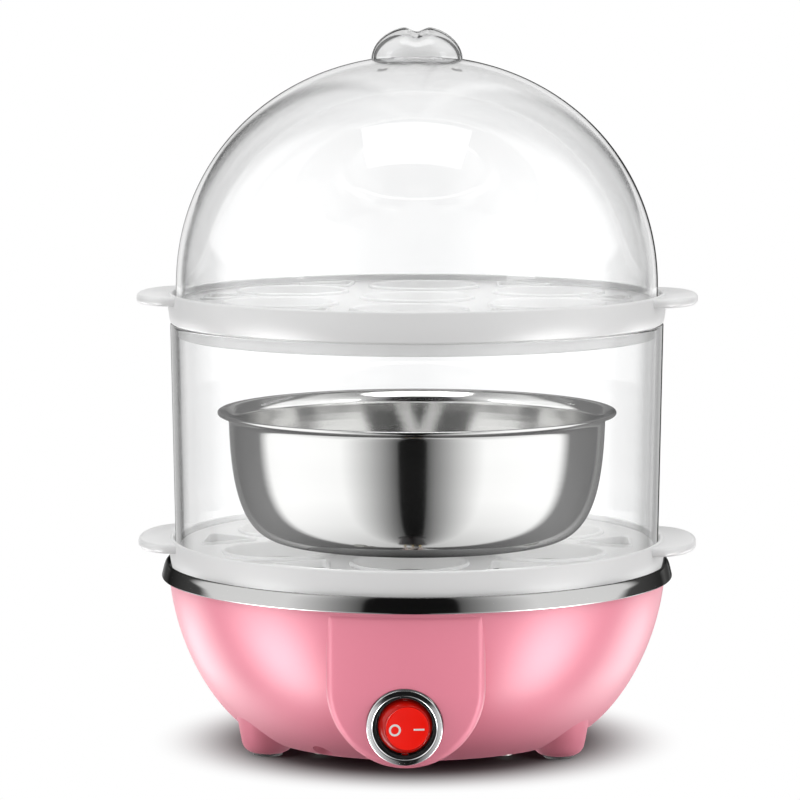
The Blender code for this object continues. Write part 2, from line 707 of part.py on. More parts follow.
def make_bottom_cover():
    """A vented disc that closes the base from below."""
    radius = LEDGE_R - SEAT_GAP
    top = SHELL_BOTTOM_Z + COVER_THICKNESS
    cover = place("bottom_cover", rod(radius, SHELL_BOTTOM_Z, top, BODY_STEPS), pink_plastic())
    cuts = []
    for x, y, _ in around(COVER_SCREWS, COVER_BOSS_PITCH_R, COVER_BOSS_ANGLE):
        hole = rod(SCREW_SHANK_R + FIT_GAP, SHELL_BOTTOM_Z - OVERRUN, top + OVERRUN, FINE_STEPS)
        cuts.append(moved(hole, x, y))
    for k in range(COVER_SLOTS):
        y = (k - (COVER_SLOTS - 1) / 2) * COVER_SLOT_PITCH
        low = (-COVER_SLOT_LENGTH / 2, y - COVER_SLOT_WIDTH / 2, SHELL_BOTTOM_Z - OVERRUN)
        high = (COVER_SLOT_LENGTH / 2, y + COVER_SLOT_WIDTH / 2, top + OVERRUN)
        cuts.append(block(low, high))
    combine(cover, "DIFFERENCE", tool("cover_cuts", merged(cuts)))


def make_cover_screws():
    head_top = SHELL_BOTTOM_Z - SEAT_GAP
    head_low = head_top - SCREW_HEAD_HEIGHT
    tip = SHELL_BOTTOM_Z + SCREW_LENGTH - SEAT_GAP
    profile = ((0.0, tip), (SCREW_SHANK_R, tip - SCREW_SHANK_R), (SCREW_SHANK_R, head_top))
    profile += ((SCREW_HEAD_R, head_top), (SCREW_HEAD_R * SCREW_HEAD_TAPER_SHARE, head_low), (0.0, head_low))
    for number, (x, y, _) in enumerate(around(COVER_SCREWS, COVER_BOSS_PITCH_R, COVER_BOSS_ANGLE), 1):
        place(f"cover_screw_{number}", moved(revolve(profile, FINE_STEPS), x, y), zinc_steel())


def make_pan():
    """A pressed steel dish with a rolled rim that covers the shell's top edge."""
    wall = PAN_WALL_R
    low_wall = PAN_WALL_R - PAN_DRAFT
    floor = PAN_FLOOR_Z
    corner = arc((low_wall - PAN_CORNER_R, floor + PAN_CORNER_R), PAN_CORNER_R, 0.0, -math.pi / 2, 3)
    straight_z = PAN_SEAT_Z - SKIRT_DROP - SEAT_GAP
    inside = [(wall, PAN_SEAT_Z), (wall, straight_z)] + corner + [(0.0, floor)]
    outside = offset(inside, -PAN_SHEET)
    outside[0] = (wall + PAN_SHEET, PAN_SEAT_Z - PAN_SHEET)
    outside[-1] = (0.0, floor - PAN_SHEET)
    outer = ROLL_INNER_R + ROLL_WIDTH
    top = PAN_SEAT_Z + ROLL_RISE
    low = SHELL_TOP_Z - SUNK
    mid = outer - ROLL_WIDTH / 2
    roll = [(outer - ROLL_TUCK, low), (outer - ROLL_TUCK / 3, low + ROLL_TUCK), (outer, (low + top) / 2)]
    roll += arc((mid, top - ROLL_WIDTH / 2), ROLL_WIDTH / 2, 0.0, math.pi, 3)
    hem = [(ROLL_INNER_R, PAN_SEAT_Z - PAN_SHEET), (ROLL_INNER_R, low)]
    profile = list(reversed(outside)) + hem + roll + [(ROLL_INNER_R, PAN_SEAT_Z)] + inside
    place("heating_pan", revolve(list(reversed(profile)), BODY_STEPS), polished_steel())
    outer_r = SHELL_TOP_R - SEAT_GAP
    low = SHELL_TOP_Z + SEAT_GAP
    seal = ring(outer_r - SEAL_WIDTH, outer_r, low, low + SEAL_THICKNESS, BODY_STEPS)
    place("pan_seal", seal, silicone())


def make_pan_fixings():
    """Threaded bushes under the pan, and the long screws that pull it onto the shell's posts."""
    bush_low = PLATE_TOP_Z - PAN_NUT_LENGTH
    bore = PAN_SCREW_R + SEAT_GAP
    roof = PLATE_TOP_Z - PAN_NUT_BLIND
    bush = ((0.0, PLATE_TOP_Z), (PAN_NUT_R, PLATE_TOP_Z), (PAN_NUT_R, bush_low), (bore, bush_low))
    bush += ((bore, roof), (0.0, roof))
    head_top = PAN_SCREW_SEAT_Z - SEAT_GAP
    head_low = head_top - PAN_SCREW_HEAD_HEIGHT
    tip = bush_low + PAN_SCREW_GRIP
    screw = ((0.0, tip), (PAN_SCREW_R, tip), (PAN_SCREW_R, head_top), (PAN_SCREW_HEAD_R, head_top))
    screw += ((PAN_SCREW_HEAD_R, head_low), (0.0, head_low))
    for number, (x, y, _) in enumerate(around(PAN_POSTS, PAN_POST_PITCH_R), 1):
        place(f"pan_bush_{number}", moved(revolve(bush, FINE_STEPS), x, y), zinc_steel())
        place(f"pan_screw_{number}", moved(revolve(screw, FINE_STEPS), x, y), zinc_steel())


def make_heater():
    """The aluminium spreader plate with two studs, the tubular ring under it and its cold pins."""
    plate = place("heater_plate", rod(PLATE_R, PLATE_BOTTOM_Z, PLATE_TOP_Z, BODY_STEPS), aluminium())
    stud_low = NUT_TOP_Z - NUT_HEIGHT - STUD_PAST_NUT
    studs = [
        moved(rod(STUD_R, stud_low, PLATE_BOTTOM_Z + SUNK, FINE_STEPS), x) for x in (-STUD_X, STUD_X)
    ]
    combine(plate, "UNION", tool("plate_studs", merged(studs)))
    half_gap = TUBE_GAP_ANGLE / 2
    start = math.pi / 2 + half_gap
    end = math.pi / 2 - half_gap + math.tau
    turns = [start + (end - start) * k / TUBE_STEPS for k in range(TUBE_STEPS + 1)]
    route = [
        Vector((TUBE_RING_R * math.cos(turn), TUBE_RING_R * math.sin(turn), TUBE_Z)) for turn in turns
    ]
    tube("heater_tube", route, TUBE_R, zinc_steel())
    for name, turn, sign in (("heater_pin_left", start, -1), ("heater_pin_right", end, 1)):
        along, root = pin_line(turn, sign)
        tube(name, [root, root + along * PIN_LENGTH], PIN_R, zinc_steel())


def pin_line(turn, sign):
    """The direction and root of a cold pin, which carries on straight from the tube's end."""
    along = Vector((-math.sin(turn), math.cos(turn), 0.0)) * sign
    end = Vector((TUBE_RING_R * math.cos(turn), TUBE_RING_R * math.sin(turn), TUBE_Z))
    return along, end + along * SEAT_GAP


def make_clamp_bar():
    """The pressed steel bar that holds the tube and the thermostat up against the plate."""
    low = BAR_TOP_Z - BAR_THICKNESS
    reach = TUBE_RING_R + BAR_OVER_TUBE
    bar = block((-reach, -BAR_WIDTH / 2, low), (reach, BAR_WIDTH / 2, BAR_TOP_Z))
    clamp = place("clamp_bar", bar, zinc_steel())
    hub = ring(BAR_HUB_R - OVERRUN, BAR_HUB_R, low, BAR_TOP_Z, SMALL_STEPS)
    combine(clamp, "UNION", tool("bar_hub", hub))
    cuts = [rod(THERMOSTAT_R + FIT_GAP, low - OVERRUN, BAR_TOP_Z + OVERRUN)]
    for x in (-STUD_X, STUD_X):
        cuts.append(moved(rod(STUD_R + FIT_GAP, low - OVERRUN, BAR_TOP_Z + OVERRUN, FINE_STEPS), x))
    combine(clamp, "DIFFERENCE", tool("bar_cuts", merged(cuts)))
    corner_r = NUT_ACROSS_FLATS / 2 / math.cos(math.pi / 6)
    hexagon = [(x, y) for x, y, _ in around(6, corner_r)]
    for number, x in enumerate((-STUD_X, STUD_X), 1):
        nut = place(f"clamp_nut_{number}", moved(prism(hexagon, NUT_TOP_Z - NUT_HEIGHT, NUT_TOP_Z), x), zinc_steel())
        bore = rod(STUD_R + SEAT_GAP, NUT_TOP_Z - NUT_HEIGHT - OVERRUN, NUT_TOP_Z + OVERRUN, FINE_STEPS)
        combine(nut, "DIFFERENCE", tool(f"nut_bore_{number}", moved(bore, x)))


def make_thermostat():
    """A snap-disc thermostat whose cap touches the plate and whose flange sits on the clamp bar."""
    top = PLATE_BOTTOM_Z - SEAT_GAP
    flange_low = BAR_TOP_Z + SEAT_GAP
    flange_top = flange_low + THERMOSTAT_FLANGE
    profile = ((0.0, top), (THERMOSTAT_R, top), (THERMOSTAT_R, flange_top), (THERMOSTAT_FLANGE_R, flange_top))
    profile += ((THERMOSTAT_FLANGE_R, flange_low), (THERMOSTAT_R, flange_low))
    profile += ((THERMOSTAT_R, THERMOSTAT_BOTTOM_Z), (0.0, THERMOSTAT_BOTTOM_Z))
    place("thermostat", revolve(profile, SMALL_STEPS), ceramic())
    top = THERMOSTAT_BOTTOM_Z - SEAT_GAP
    for name, x in (("thermostat_blade_in", -BLADE_SPREAD), ("thermostat_blade_out", BLADE_SPREAD)):
        low = (x - BLADE_THICKNESS / 2, -BLADE_WIDTH / 2, top - BLADE_LENGTH)
        place(name, block(low, (x + BLADE_THICKNESS / 2, BLADE_WIDTH / 2, top)), brass())


def fuse_z():
    return PLATE_BOTTOM_Z - SEAT_GAP - FUSE_R - SEAT_GAP - SLEEVE_WALL


def make_thermal_fuse():
    """The thermal fuse lies in its sleeve against the plate."""
    half = FUSE_LENGTH / 2
    fuse = laid_along_x(rod(FUSE_R, -half, half, FINE_STEPS))
    place("thermal_fuse", moved(fuse, y=SLEEVE_Y, z=fuse_z()), aluminium())
    bore = FUSE_R + SEAT_GAP
    reach = half + SLEEVE_OVERHANG
    sleeve = laid_along_x(ring(bore, bore + SLEEVE_WALL, -reach, reach, FINE_STEPS))
    place("fuse_sleeve", moved(sleeve, y=SLEEVE_Y, z=fuse_z()), woven_sleeve())


def make_switch():
    """A round rocker switch: housing, bezel ring, rocker on its axle, lamp and three blades."""
    flange_low = SWITCH_SEAT_OUT + SEAT_GAP
    flange_top = flange_low + HOUSING_FLANGE
    body = [(0.0, WELL_FLOOR_OUT), (WELL_R, WELL_FLOOR_OUT), (WELL_R, flange_top)]
    body += [(HOUSING_FLANGE_R, flange_top), (HOUSING_FLANGE_R, flange_low), (HOUSING_R, flange_low)]
    body += [(HOUSING_R, HOUSING_BACK_OUT), (0.0, HOUSING_BACK_OUT)]
    housing = place("switch_housing", moved(faced_front(revolve(body, SMALL_STEPS)), z=SWITCH_Z), black_plastic())
    reach = HOUSING_R + OVERRUN
    axle_hole = moved(rod(ROCKER_AXLE_R + SEAT_GAP, -reach, reach, FINE_STEPS), 0.0, -ROCKER_OUT, SWITCH_Z)
    lamp_bore = LAMP_R + SEAT_GAP
    lamp_hole = faced_front(rod(lamp_bore, WELL_FLOOR_OUT - LAMP_LENGTH - SEAT_GAP, WELL_FLOOR_OUT + SUNK, FINE_STEPS))
    cuts = merged([axle_hole, moved(lamp_hole, z=SWITCH_Z)])
    combine(housing, "DIFFERENCE", tool("housing_cuts", cuts))
    back = BEZEL_BACK_OUT
    front = back + BEZEL_THICKNESS
    bezel = [(BEZEL_BORE_R, front - BEZEL_ROUND), (BEZEL_BORE_R + BEZEL_ROUND, front)]
    bezel += [(BEZEL_R - BEZEL_ROUND, front - BEZEL_ROUND / 2), (BEZEL_R, front - BEZEL_ROUND * 2)]
    bezel += [(BEZEL_R, flange_low), (BEZEL_R - BEZEL_LIP, flange_low), (BEZEL_R - BEZEL_LIP, back)]
    bezel += [(BEZEL_BORE_R, back)]
    place("switch_bezel", moved(faced_front(revolve(bezel, SMALL_STEPS)), z=SWITCH_Z), polished_steel())
    lamp = faced_front(rod(LAMP_R, WELL_FLOOR_OUT - LAMP_LENGTH, WELL_FLOOR_OUT, FINE_STEPS))
    place("switch_lamp", moved(lamp, z=SWITCH_Z), clear_plastic())
    make_rocker()
    low_y = -(HOUSING_BACK_OUT - SEAT_GAP)
    for number, x in enumerate((-BLADE_SPREAD, 0.0, BLADE_SPREAD), 1):
        low = (x - BLADE_THICKNESS / 2, low_y, SWITCH_Z - BLADE_WIDTH / 2)
        high = (x + BLADE_THICKNESS / 2, low_y + BLADE_LENGTH, SWITCH_Z + BLADE_WIDTH / 2)
        place(f"switch_blade_{number}", block(low, high), brass())


def make_rocker():
    """A ball-sided button that tilts about an upright axle. It rests pressed in on its right side."""
    start = math.asin(ROCKER_FACE / ROCKER_R)
    end = -math.asin(ROCKER_BACK / ROCKER_R)
    side = arc((0.0, 0.0), ROCKER_R, start, end, 4)
    profile = [(0.0, ROCKER_FACE - ROCKER_DISH)] + side + [(0.0, -ROCKER_BACK)]
    rocker = place("switch_rocker", faced_front(revolve(profile, SMALL_STEPS)), red_plastic())
    reach = WELL_R + ROCKER_AXLE_REACH
    combine(rocker, "UNION", tool("rocker_axle", rod(ROCKER_AXLE_R, -reach, reach, FINE_STEPS)))
    turn = Matrix.Rotation(ROCKER_THROW / 2, 4, "Z")
    spot = Matrix.Translation((0.0, -ROCKER_OUT, SWITCH_Z))
    for obj in (rocker, bpy.data.objects["rocker_axle"]):
        obj.matrix_world = spot @ turn


def make_grommet():
    """The rubber bush of the cord inlet, with an empty bore."""
    face = INLET_FACE_Y + SEAT_GAP
    front = face + GROMMET_FLANGE
    back = face - GROMMET_DEPTH
    profile = ((GROMMET_BORE_R, front), (GROMMET_FLANGE_R - GROMMET_ROUND, front))
    profile += ((GROMMET_FLANGE_R, front - GROMMET_ROUND), (GROMMET_FLANGE_R, face), (GROMMET_R, face))
    profile += ((GROMMET_R, back), (GROMMET_BORE_R, back))
    place("cord_grommet", moved(faced_back(revolve(profile, SMALL_STEPS)), z=INLET_Z), rubber())


def wire_routes():
    """Each inner wire's name and the places that it passes, from one terminal to the next."""
    floor_z = LEDGE_TOP_Z + WIRE_FLOOR_LIFT
    lead = BLADE_LENGTH / 2
    blade_end_y = -(HOUSING_BACK_OUT - SEAT_GAP) + BLADE_LENGTH + SEAT_GAP
    blade_low_z = THERMOSTAT_BOTTOM_Z - SEAT_GAP - BLADE_LENGTH - SEAT_GAP
    dip_z = blade_low_z - WIRE_R
    along_left, pin_left = pin_line(math.pi / 2 + TUBE_GAP_ANGLE / 2, -1)
    along_right, pin_right = pin_line(math.pi / 2 - TUBE_GAP_ANGLE / 2, 1)
    left_end = pin_left + along_left * (PIN_LENGTH + SEAT_GAP)
    right_end = pin_right + along_right * (PIN_LENGTH + SEAT_GAP)
    cap_y = CRIMP_Y - CRIMP_LENGTH / 2 - SEAT_GAP
    sleeve_end = FUSE_LENGTH / 2 + SEAT_GAP
    mid_z = (floor_z + TUBE_Z) / 2
    switch_mid_z = (SWITCH_Z + floor_z) / 2
    return {
        "wire_switch_to_thermostat": [
            Vector((0.0, blade_end_y, SWITCH_Z)),
            Vector((0.0, blade_end_y + lead, SWITCH_Z)),
            Vector((-BLADE_SPREAD / 2, blade_end_y + lead * 4, switch_mid_z)),
            Vector((-BLADE_SPREAD, -lead * 5, floor_z)),
            Vector((-BLADE_SPREAD, -lead, floor_z - WIRE_R)),
            Vector((-BLADE_SPREAD, 0.0, dip_z)),
            Vector((-BLADE_SPREAD, 0.0, blade_low_z)),
        ],
        "wire_thermostat_to_heater": [
            Vector((BLADE_SPREAD, 0.0, blade_low_z)),
            Vector((BLADE_SPREAD, 0.0, dip_z)),
            Vector((BLADE_SPREAD * 2, lead, floor_z - WIRE_R)),
            Vector((BLADE_SPREAD * 3, lead * 6, mid_z)),
            Vector((BLADE_SPREAD, TUBE_RING_R, TUBE_Z - TUBE_R * 3)),
            right_end + along_right * lead,
            right_end,
        ],
        "wire_heater_to_fuse": [
            left_end,
            left_end + along_left * lead,
            Vector((-BLADE_SPREAD * 2, TUBE_RING_R - lead, TUBE_Z - TUBE_R * 3)),
            Vector((-sleeve_end - lead * 3.4, SLEEVE_Y + lead * 1.4, fuse_z() - TUBE_R)),
            Vector((-sleeve_end - lead * 1.6, SLEEVE_Y, fuse_z())),
            Vector((-sleeve_end, SLEEVE_Y, fuse_z())),
        ],
        "wire_fuse_to_cap": [
            Vector((sleeve_end, SLEEVE_Y, fuse_z())),
            Vector((sleeve_end + lead * 1.6, SLEEVE_Y, fuse_z())),
            Vector((sleeve_end + lead * 4, SLEEVE_Y + CRIMP_R, (fuse_z() + CRIMP_Z) / 2)),
            Vector((CRIMP_X, cap_y - lead, CRIMP_Z + CRIMP_R / 2)),
            Vector((CRIMP_X, cap_y, CRIMP_Z + CRIMP_R / 2)),
        ],
        "wire_cap_to_switch": [
            Vector((-CRIMP_X, cap_y, CRIMP_Z)),
            Vector((-CRIMP_X, cap_y - lead, CRIMP_Z)),
            Vector((-WIRE_RUN_X, lead * 2, floor_z)),
            Vector((-WIRE_RUN_X, -lead * 4, floor_z)),
            Vector((-BLADE_SPREAD, blade_end_y + lead * 3, switch_mid_z)),
            Vector((-BLADE_SPREAD, blade_end_y + lead, SWITCH_Z)),
            Vector((-BLADE_SPREAD, blade_end_y, SWITCH_Z)),
        ],
        "wire_cap_to_lamp": [
            Vector((CRIMP_X, cap_y, CRIMP_Z - CRIMP_R / 2)),
            Vector((CRIMP_X, cap_y - lead, CRIMP_Z - CRIMP_R / 2)),
            Vector((WIRE_RUN_X, lead * 2, floor_z)),
            Vector((WIRE_RUN_X, -lead * 4, floor_z)),
            Vector((BLADE_SPREAD, blade_end_y + lead * 3, switch_mid_z)),
            Vector((BLADE_SPREAD, blade_end_y + lead, SWITCH_Z)),
            Vector((BLADE_SPREAD, blade_end_y, SWITCH_Z)),
        ],
    }


def make_wires():
    for name, places in wire_routes().items():
        tube(name, smooth_route(places, WIRE_POINTS), WIRE_R, wire_sheath())
    for name, x in (("crimp_cap_live", -CRIMP_X), ("crimp_cap_neutral", CRIMP_X)):
        half = CRIMP_LENGTH / 2
        profile = ((0.0, half), (CRIMP_R * CRIMP_NOSE_SHARE, half), (CRIMP_R, half - CRIMP_R), (CRIMP_R, -half), (0.0, -half))
        cap = faced_back(revolve(profile, FINE_STEPS))
        place(name, moved(cap, x, CRIMP_Y, CRIMP_Z), white_plastic())


def tray_section():
    """The tray's turned section about its rim height of zero: rim, wall, shoulder, skirt and deck."""
    shoulder = -TRAY_WALL_HEIGHT
    deck = -DECK_DROP
    round_r = TRAY_RIM_ROUND
    return [
        (0.0, deck),
        (RIM_INNER_R, deck),
        (RIM_INNER_R, -round_r),
        (RIM_INNER_R + round_r, 0.0),
        (TRAY_R - round_r, 0.0),
        (TRAY_R, -round_r),
        (TRAY_R, (shoulder + deck) / 2),
        (TRAY_R - TRAY_SHOULDER_TUCK, shoulder),
        (SKIRT_R, shoulder),
        (SKIRT_R, shoulder - SKIRT_DROP),
        (SKIRT_R - TRAY_WALL, shoulder - SKIRT_DROP),
        (SKIRT_R - TRAY_WALL, shoulder + TRAY_WALL),
        (RIM_INNER_R - round_r, shoulder + TRAY_WALL),
        (RIM_INNER_R - round_r, deck - TRAY_WALL),
        (0.0, deck - TRAY_WALL),
    ]


def ear_outline(side):
    """A wide rounded tab that grows out of the wall on the left (-1) or the right (1)."""
    root_r = TRAY_R - TRAY_WALL / 2
    half = math.asin(EAR_HALF_WIDTH / TRAY_R)
    outer = []
    for k in range(EAR_STEPS + 1):
        share = 2 * k / EAR_STEPS - 1
        reach = max(1 - abs(share) ** EAR_FLATNESS, 0.0) ** (1 / EAR_ROUNDNESS)
        radius = root_r + TRAY_WALL / 2 * reach + EAR_REACH * reach
        outer.append((radius * math.cos(half * share) * side, radius * math.sin(half * share) * side))
    inner = arc((0.0, 0.0), root_r, half, -half, EAR_STEPS // 2)[1:-1]
    return outer + [(x * side, y * side) for x, y in inner]


def vent_outline(turn):
    """A rounded triangle that points to the middle, between two outer seats and the rim."""
    outer = VENT_OUTER_R - VENT_CORNER_R
    inner = VENT_INNER_R + VENT_CORNER_R
    corners = (
        (outer, -VENT_HALF_ANGLE, -VENT_CORNER_TURN),
        (outer, VENT_HALF_ANGLE, VENT_CORNER_TURN),
        (inner, 0.0, math.pi),
    )
    points = []
    for radius, swing, facing in corners:
        centre = (radius * math.cos(turn + swing), radius * math.sin(turn + swing))
        middle = turn + facing
        points += arc(centre, VENT_CORNER_R, middle - VENT_CORNER_TURN, middle + VENT_CORNER_TURN, 3)
    return points


def seat_places():
    return [(0.0, 0.0)] + [(x, y) for x, y, _ in around(OUTER_SEATS, SEAT_PITCH_R, math.pi / OUTER_SEATS)]


def make_tray(name, rim_z):
    """A tray with seven dished egg seats, six steam vents and two ears."""
    deck = -DECK_DROP
    tray = place(name, moved(revolve(tray_section(), BODY_STEPS), z=rim_z), white_plastic())
    ears = [prism(ear_outline(side), rim_z - EAR_DROP - EAR_THICKNESS, rim_z - EAR_DROP) for side in (-1, 1)]
    rims = []
    holes = []
    top = rim_z + deck + SEAT_RIM_RISE
    low = top - SEAT_DEPTH
    slope = (SEAT_MOUTH_R - SEAT_HOLE_R) / SEAT_DEPTH
    for x, y in seat_places():
        plug = ((0.0, top), (SEAT_RIM_R, top), (SEAT_RIM_R, rim_z + deck - TRAY_WALL / 2))
        plug += ((SEAT_HOLE_R + TRAY_WALL, low), (0.0, low))
        rims.append(moved(revolve(plug, SEAT_STEPS), x, y))
        mouth = SEAT_MOUTH_R + slope * OVERRUN
        throat = SEAT_HOLE_R - slope * OVERRUN
        hole = ((0.0, top + OVERRUN), (mouth, top + OVERRUN), (throat, low - OVERRUN), (0.0, low - OVERRUN))
        holes.append(moved(revolve(hole, SEAT_STEPS), x, y))
    for k in range(OUTER_SEATS):
        outline = vent_outline(math.tau * k / OUTER_SEATS)
        holes.append(prism(outline, low, top + OVERRUN))
    combine(tray, "UNION", tool(f"{name}_ears", merged(ears)), tool(f"{name}_rims", merged(rims)))
    combine(tray, "DIFFERENCE", tool(f"{name}_holes", merged(holes)))


def make_collar():
    """The clear collar, a little wider at its top, between the lower tray's deck and the upper tray."""
    top = COLLAR_Z + COLLAR_HEIGHT
    profile = [(COLLAR_TOP_R, top), (COLLAR_BOTTOM_R, COLLAR_Z)]
    profile += [(COLLAR_BOTTOM_R - COLLAR_WALL, COLLAR_Z), (COLLAR_TOP_R - COLLAR_WALL, top)]
    place("collar", revolve(profile, BODY_STEPS), clear_plastic())


def make_bowl():
    """A spun steel bowl with a flared, beaded rim."""
    top = BOWL_Z + BOWL_HEIGHT
    low_r = BOWL_TOP_R - BOWL_DRAFT
    neck = top - BOWL_RIM_DROP
    corner = arc((low_r - BOWL_CORNER_R, BOWL_Z + BOWL_CORNER_R), BOWL_CORNER_R, 0.0, -math.pi / 2, 5)
    outside = [(BOWL_TOP_R, neck)] + corner + [(0.0, BOWL_Z)]
    inside = offset(outside, BOWL_SHEET)
    inside[-1] = (0.0, BOWL_Z + BOWL_SHEET)
    bead = BOWL_BEAD / 2
    inner_lip = [(BOWL_RIM_R - BOWL_BEAD * 2, top - bead / 2)]
    rim = arc((BOWL_RIM_R - bead, top - bead), bead, math.pi * 0.6, -math.pi * 0.6, 3)
    under_lip = [(BOWL_TOP_R + BOWL_BEAD, neck + bead)]
    profile = list(reversed(inside)) + inner_lip + rim + under_lip + outside
    place("steel_bowl", revolve(profile, BOWL_STEPS), polished_steel())


def dome_line(inset):
    """The dome's line as (radius, height), from its top down to its foot, shrunk by this much."""
    spring = DOME_Z + DOME_SKIRT
    points = []
    for k in range(DOME_STEPS + 1):
        turn = math.pi / 2 * k / DOME_STEPS
        radius = (DOME_R - inset) * math.sin(turn) ** (2 / DOME_FULLNESS)
        height = (DOME_RISE - inset) * math.cos(turn) ** (2 / DOME_FULLNESS) if k < DOME_STEPS else 0.0
        points.append((radius, spring + height))
    return points + [(DOME_R - inset, DOME_Z)]


def knob_solid(half_width, half_depth, height, low, root):
    """Half an egg shape, wide from left to right and thin from front to back, on a straight root."""
    bm = bmesh.new()
    loops = []
    for k in range(KNOB_STEPS):
        turn = math.pi / 2 * k / KNOB_STEPS
        wide = half_width * math.cos(turn)
        deep = half_depth * math.cos(turn)
        turns = [math.tau * j / SMALL_STEPS for j in range(SMALL_STEPS)]
        z = low + height * math.sin(turn)
        loops.append([bm.verts.new((wide * math.cos(t), deep * math.sin(t), z)) for t in turns])
    loops.insert(0, [bm.verts.new((v.co.x, v.co.y, root)) for v in loops[0]])
    for lower, upper in zip(loops, loops[1:]):
        for k in range(SMALL_STEPS):
            j = (k + 1) % SMALL_STEPS
            bm.faces.new((lower[k], lower[j], upper[j], upper[k]))
    peak = bm.verts.new((0.0, 0.0, low + height))
    for k in range(SMALL_STEPS):
        bm.faces.new((loops[-1][k], loops[-1][(k + 1) % SMALL_STEPS], peak))
    bm.faces.new(loops[0])
    return bm


def make_dome():
    """The clear dome with its hollow knob, the notch across the knob and two steam holes behind it."""
    profile = dome_line(0.0) + list(reversed(dome_line(DOME_WALL)))
    dome = place("dome_lid", revolve(profile, BODY_STEPS), clear_plastic())
    apex = DOME_Z + DOME_SKIRT + DOME_RISE
    low = apex - DOME_WALL
    knob = knob_solid(KNOB_HALF_WIDTH, KNOB_HALF_DEPTH, KNOB_HEIGHT, low, low - DOME_WALL / 2)
    hollow = knob_solid(
        KNOB_HALF_WIDTH - KNOB_WALL,
        KNOB_HALF_DEPTH - KNOB_WALL,
        KNOB_HEIGHT - KNOB_CROWN,
        low,
        low - DOME_WALL * 2,
    )
    notch_z = low + KNOB_HEIGHT + NOTCH_R - NOTCH_DEPTH
    reach = KNOB_HALF_DEPTH + OVERRUN
    notch = moved(faced_front(rod(NOTCH_R, -reach, reach, FINE_STEPS)), z=notch_z)
    cuts = [notch]
    for sign in (-1, 1):
        turn = math.pi / 2 + sign * STEAM_HOLE_ANGLE
        x, y = STEAM_HOLE_OUT * math.cos(turn), STEAM_HOLE_OUT * math.sin(turn)
        cuts.append(moved(rod(STEAM_HOLE_R, apex - KNOB_HEIGHT, apex + OVERRUN, FINE_STEPS), x, y))
    combine(dome, "UNION", tool("knob", knob))
    combine(dome, "DIFFERENCE", tool("knob_hollow", hollow), tool("dome_cuts", merged(cuts)))


def build():
    clear_scene()
    make_base_shell()
    make_foot_pads()
    make_bottom_cover()
    make_cover_screws()
    make_pan()
    make_pan_fixings()
    make_heater()
    make_clamp_bar()
    make_thermostat()
    make_thermal_fuse()
    make_switch()
    make_grommet()
    make_wires()
    make_tray("lower_tray", LOWER_RIM_Z)
    make_tray("upper_tray", UPPER_RIM_Z)
    make_collar()
    make_bowl()
    make_dome()


build()
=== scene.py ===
"""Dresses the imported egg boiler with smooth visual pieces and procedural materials.

Lengths of the pieces are in millimetres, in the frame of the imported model. make() scales them to metres.
The stage and the lamps are in metres, and directions are in degrees.
"""

import math

import bmesh
import bpy
import numpy as np
from mathutils import Matrix, Vector


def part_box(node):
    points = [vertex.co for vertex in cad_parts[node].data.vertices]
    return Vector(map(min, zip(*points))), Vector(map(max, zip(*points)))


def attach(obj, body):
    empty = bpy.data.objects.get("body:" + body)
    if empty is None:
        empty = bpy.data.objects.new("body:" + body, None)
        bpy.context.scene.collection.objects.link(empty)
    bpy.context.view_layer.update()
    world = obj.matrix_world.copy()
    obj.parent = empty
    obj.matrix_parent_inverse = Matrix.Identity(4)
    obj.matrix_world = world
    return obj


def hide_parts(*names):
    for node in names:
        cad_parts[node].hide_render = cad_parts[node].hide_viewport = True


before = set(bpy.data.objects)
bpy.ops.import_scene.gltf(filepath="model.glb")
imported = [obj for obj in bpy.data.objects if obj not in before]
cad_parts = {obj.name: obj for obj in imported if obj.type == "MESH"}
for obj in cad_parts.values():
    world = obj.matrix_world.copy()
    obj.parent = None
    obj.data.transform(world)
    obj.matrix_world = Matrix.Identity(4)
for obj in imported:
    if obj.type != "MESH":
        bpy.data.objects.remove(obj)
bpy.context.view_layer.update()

MM = 0.001

# Facets
ROUND = 160
RING = 96
SMALL = 48
FILLET_STEPS = 5
MERGE = 0.002
HOLD = 0.2
HOLD_FROM = 2.2
SHARP = math.radians(33)
SHARP_ON_BEZEL = math.radians(50)

# Sizes of the shell, its tongue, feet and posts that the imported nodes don't give directly
SHELL_TOP = 56.5
SHELL_FLOOR = 2.6
SHELL_LINE = ((82.2, SHELL_TOP), (80.0, 27.6), (61.4, SHELL_FLOOR), (48.1, SHELL_FLOOR))
SHELL_WALL = 2.0
SHELL_MOUTH_R = 80.2
HOLLOW_FLOOR = 7.0
HOLLOW_FLOOR_R = 55.4
LEDGE_R = 45.5
LEDGE_BORE_R = 41.0
LEDGE_Z = 4.8
TONGUE_HALF = 25.0
TONGUE_BOTTOM = 6.1
TONGUE_MIDDLE = TONGUE_BOTTOM + TONGUE_HALF
TONGUE_TOP = 55.6
TONGUE_OUT = 82.4
TONGUE_LEAN = 0.04
TONGUE_EDGE = 2.4
TONGUE_ROOT = 34.0
FOOT_COUNT = 4
FOOT_R = 8.7
FOOT_TIP_R = 7.8
FOOT_TIP = 0.9
FOOT_TOP = 21.0
PAN_POST_PITCH = 56.0
PAN_POST_R = 4.2
COVER_SCREW_PITCH = 42.5
COVER_POST_R = 3.6
COVER_R = 45.2
COVER_ROOF = 4.5
COVER_SLOT_HALF = 15.8
COVER_SLOT_R = 1.2
COVER_SLOT_PITCH = 6.0
CUT_BELOW = -3.0

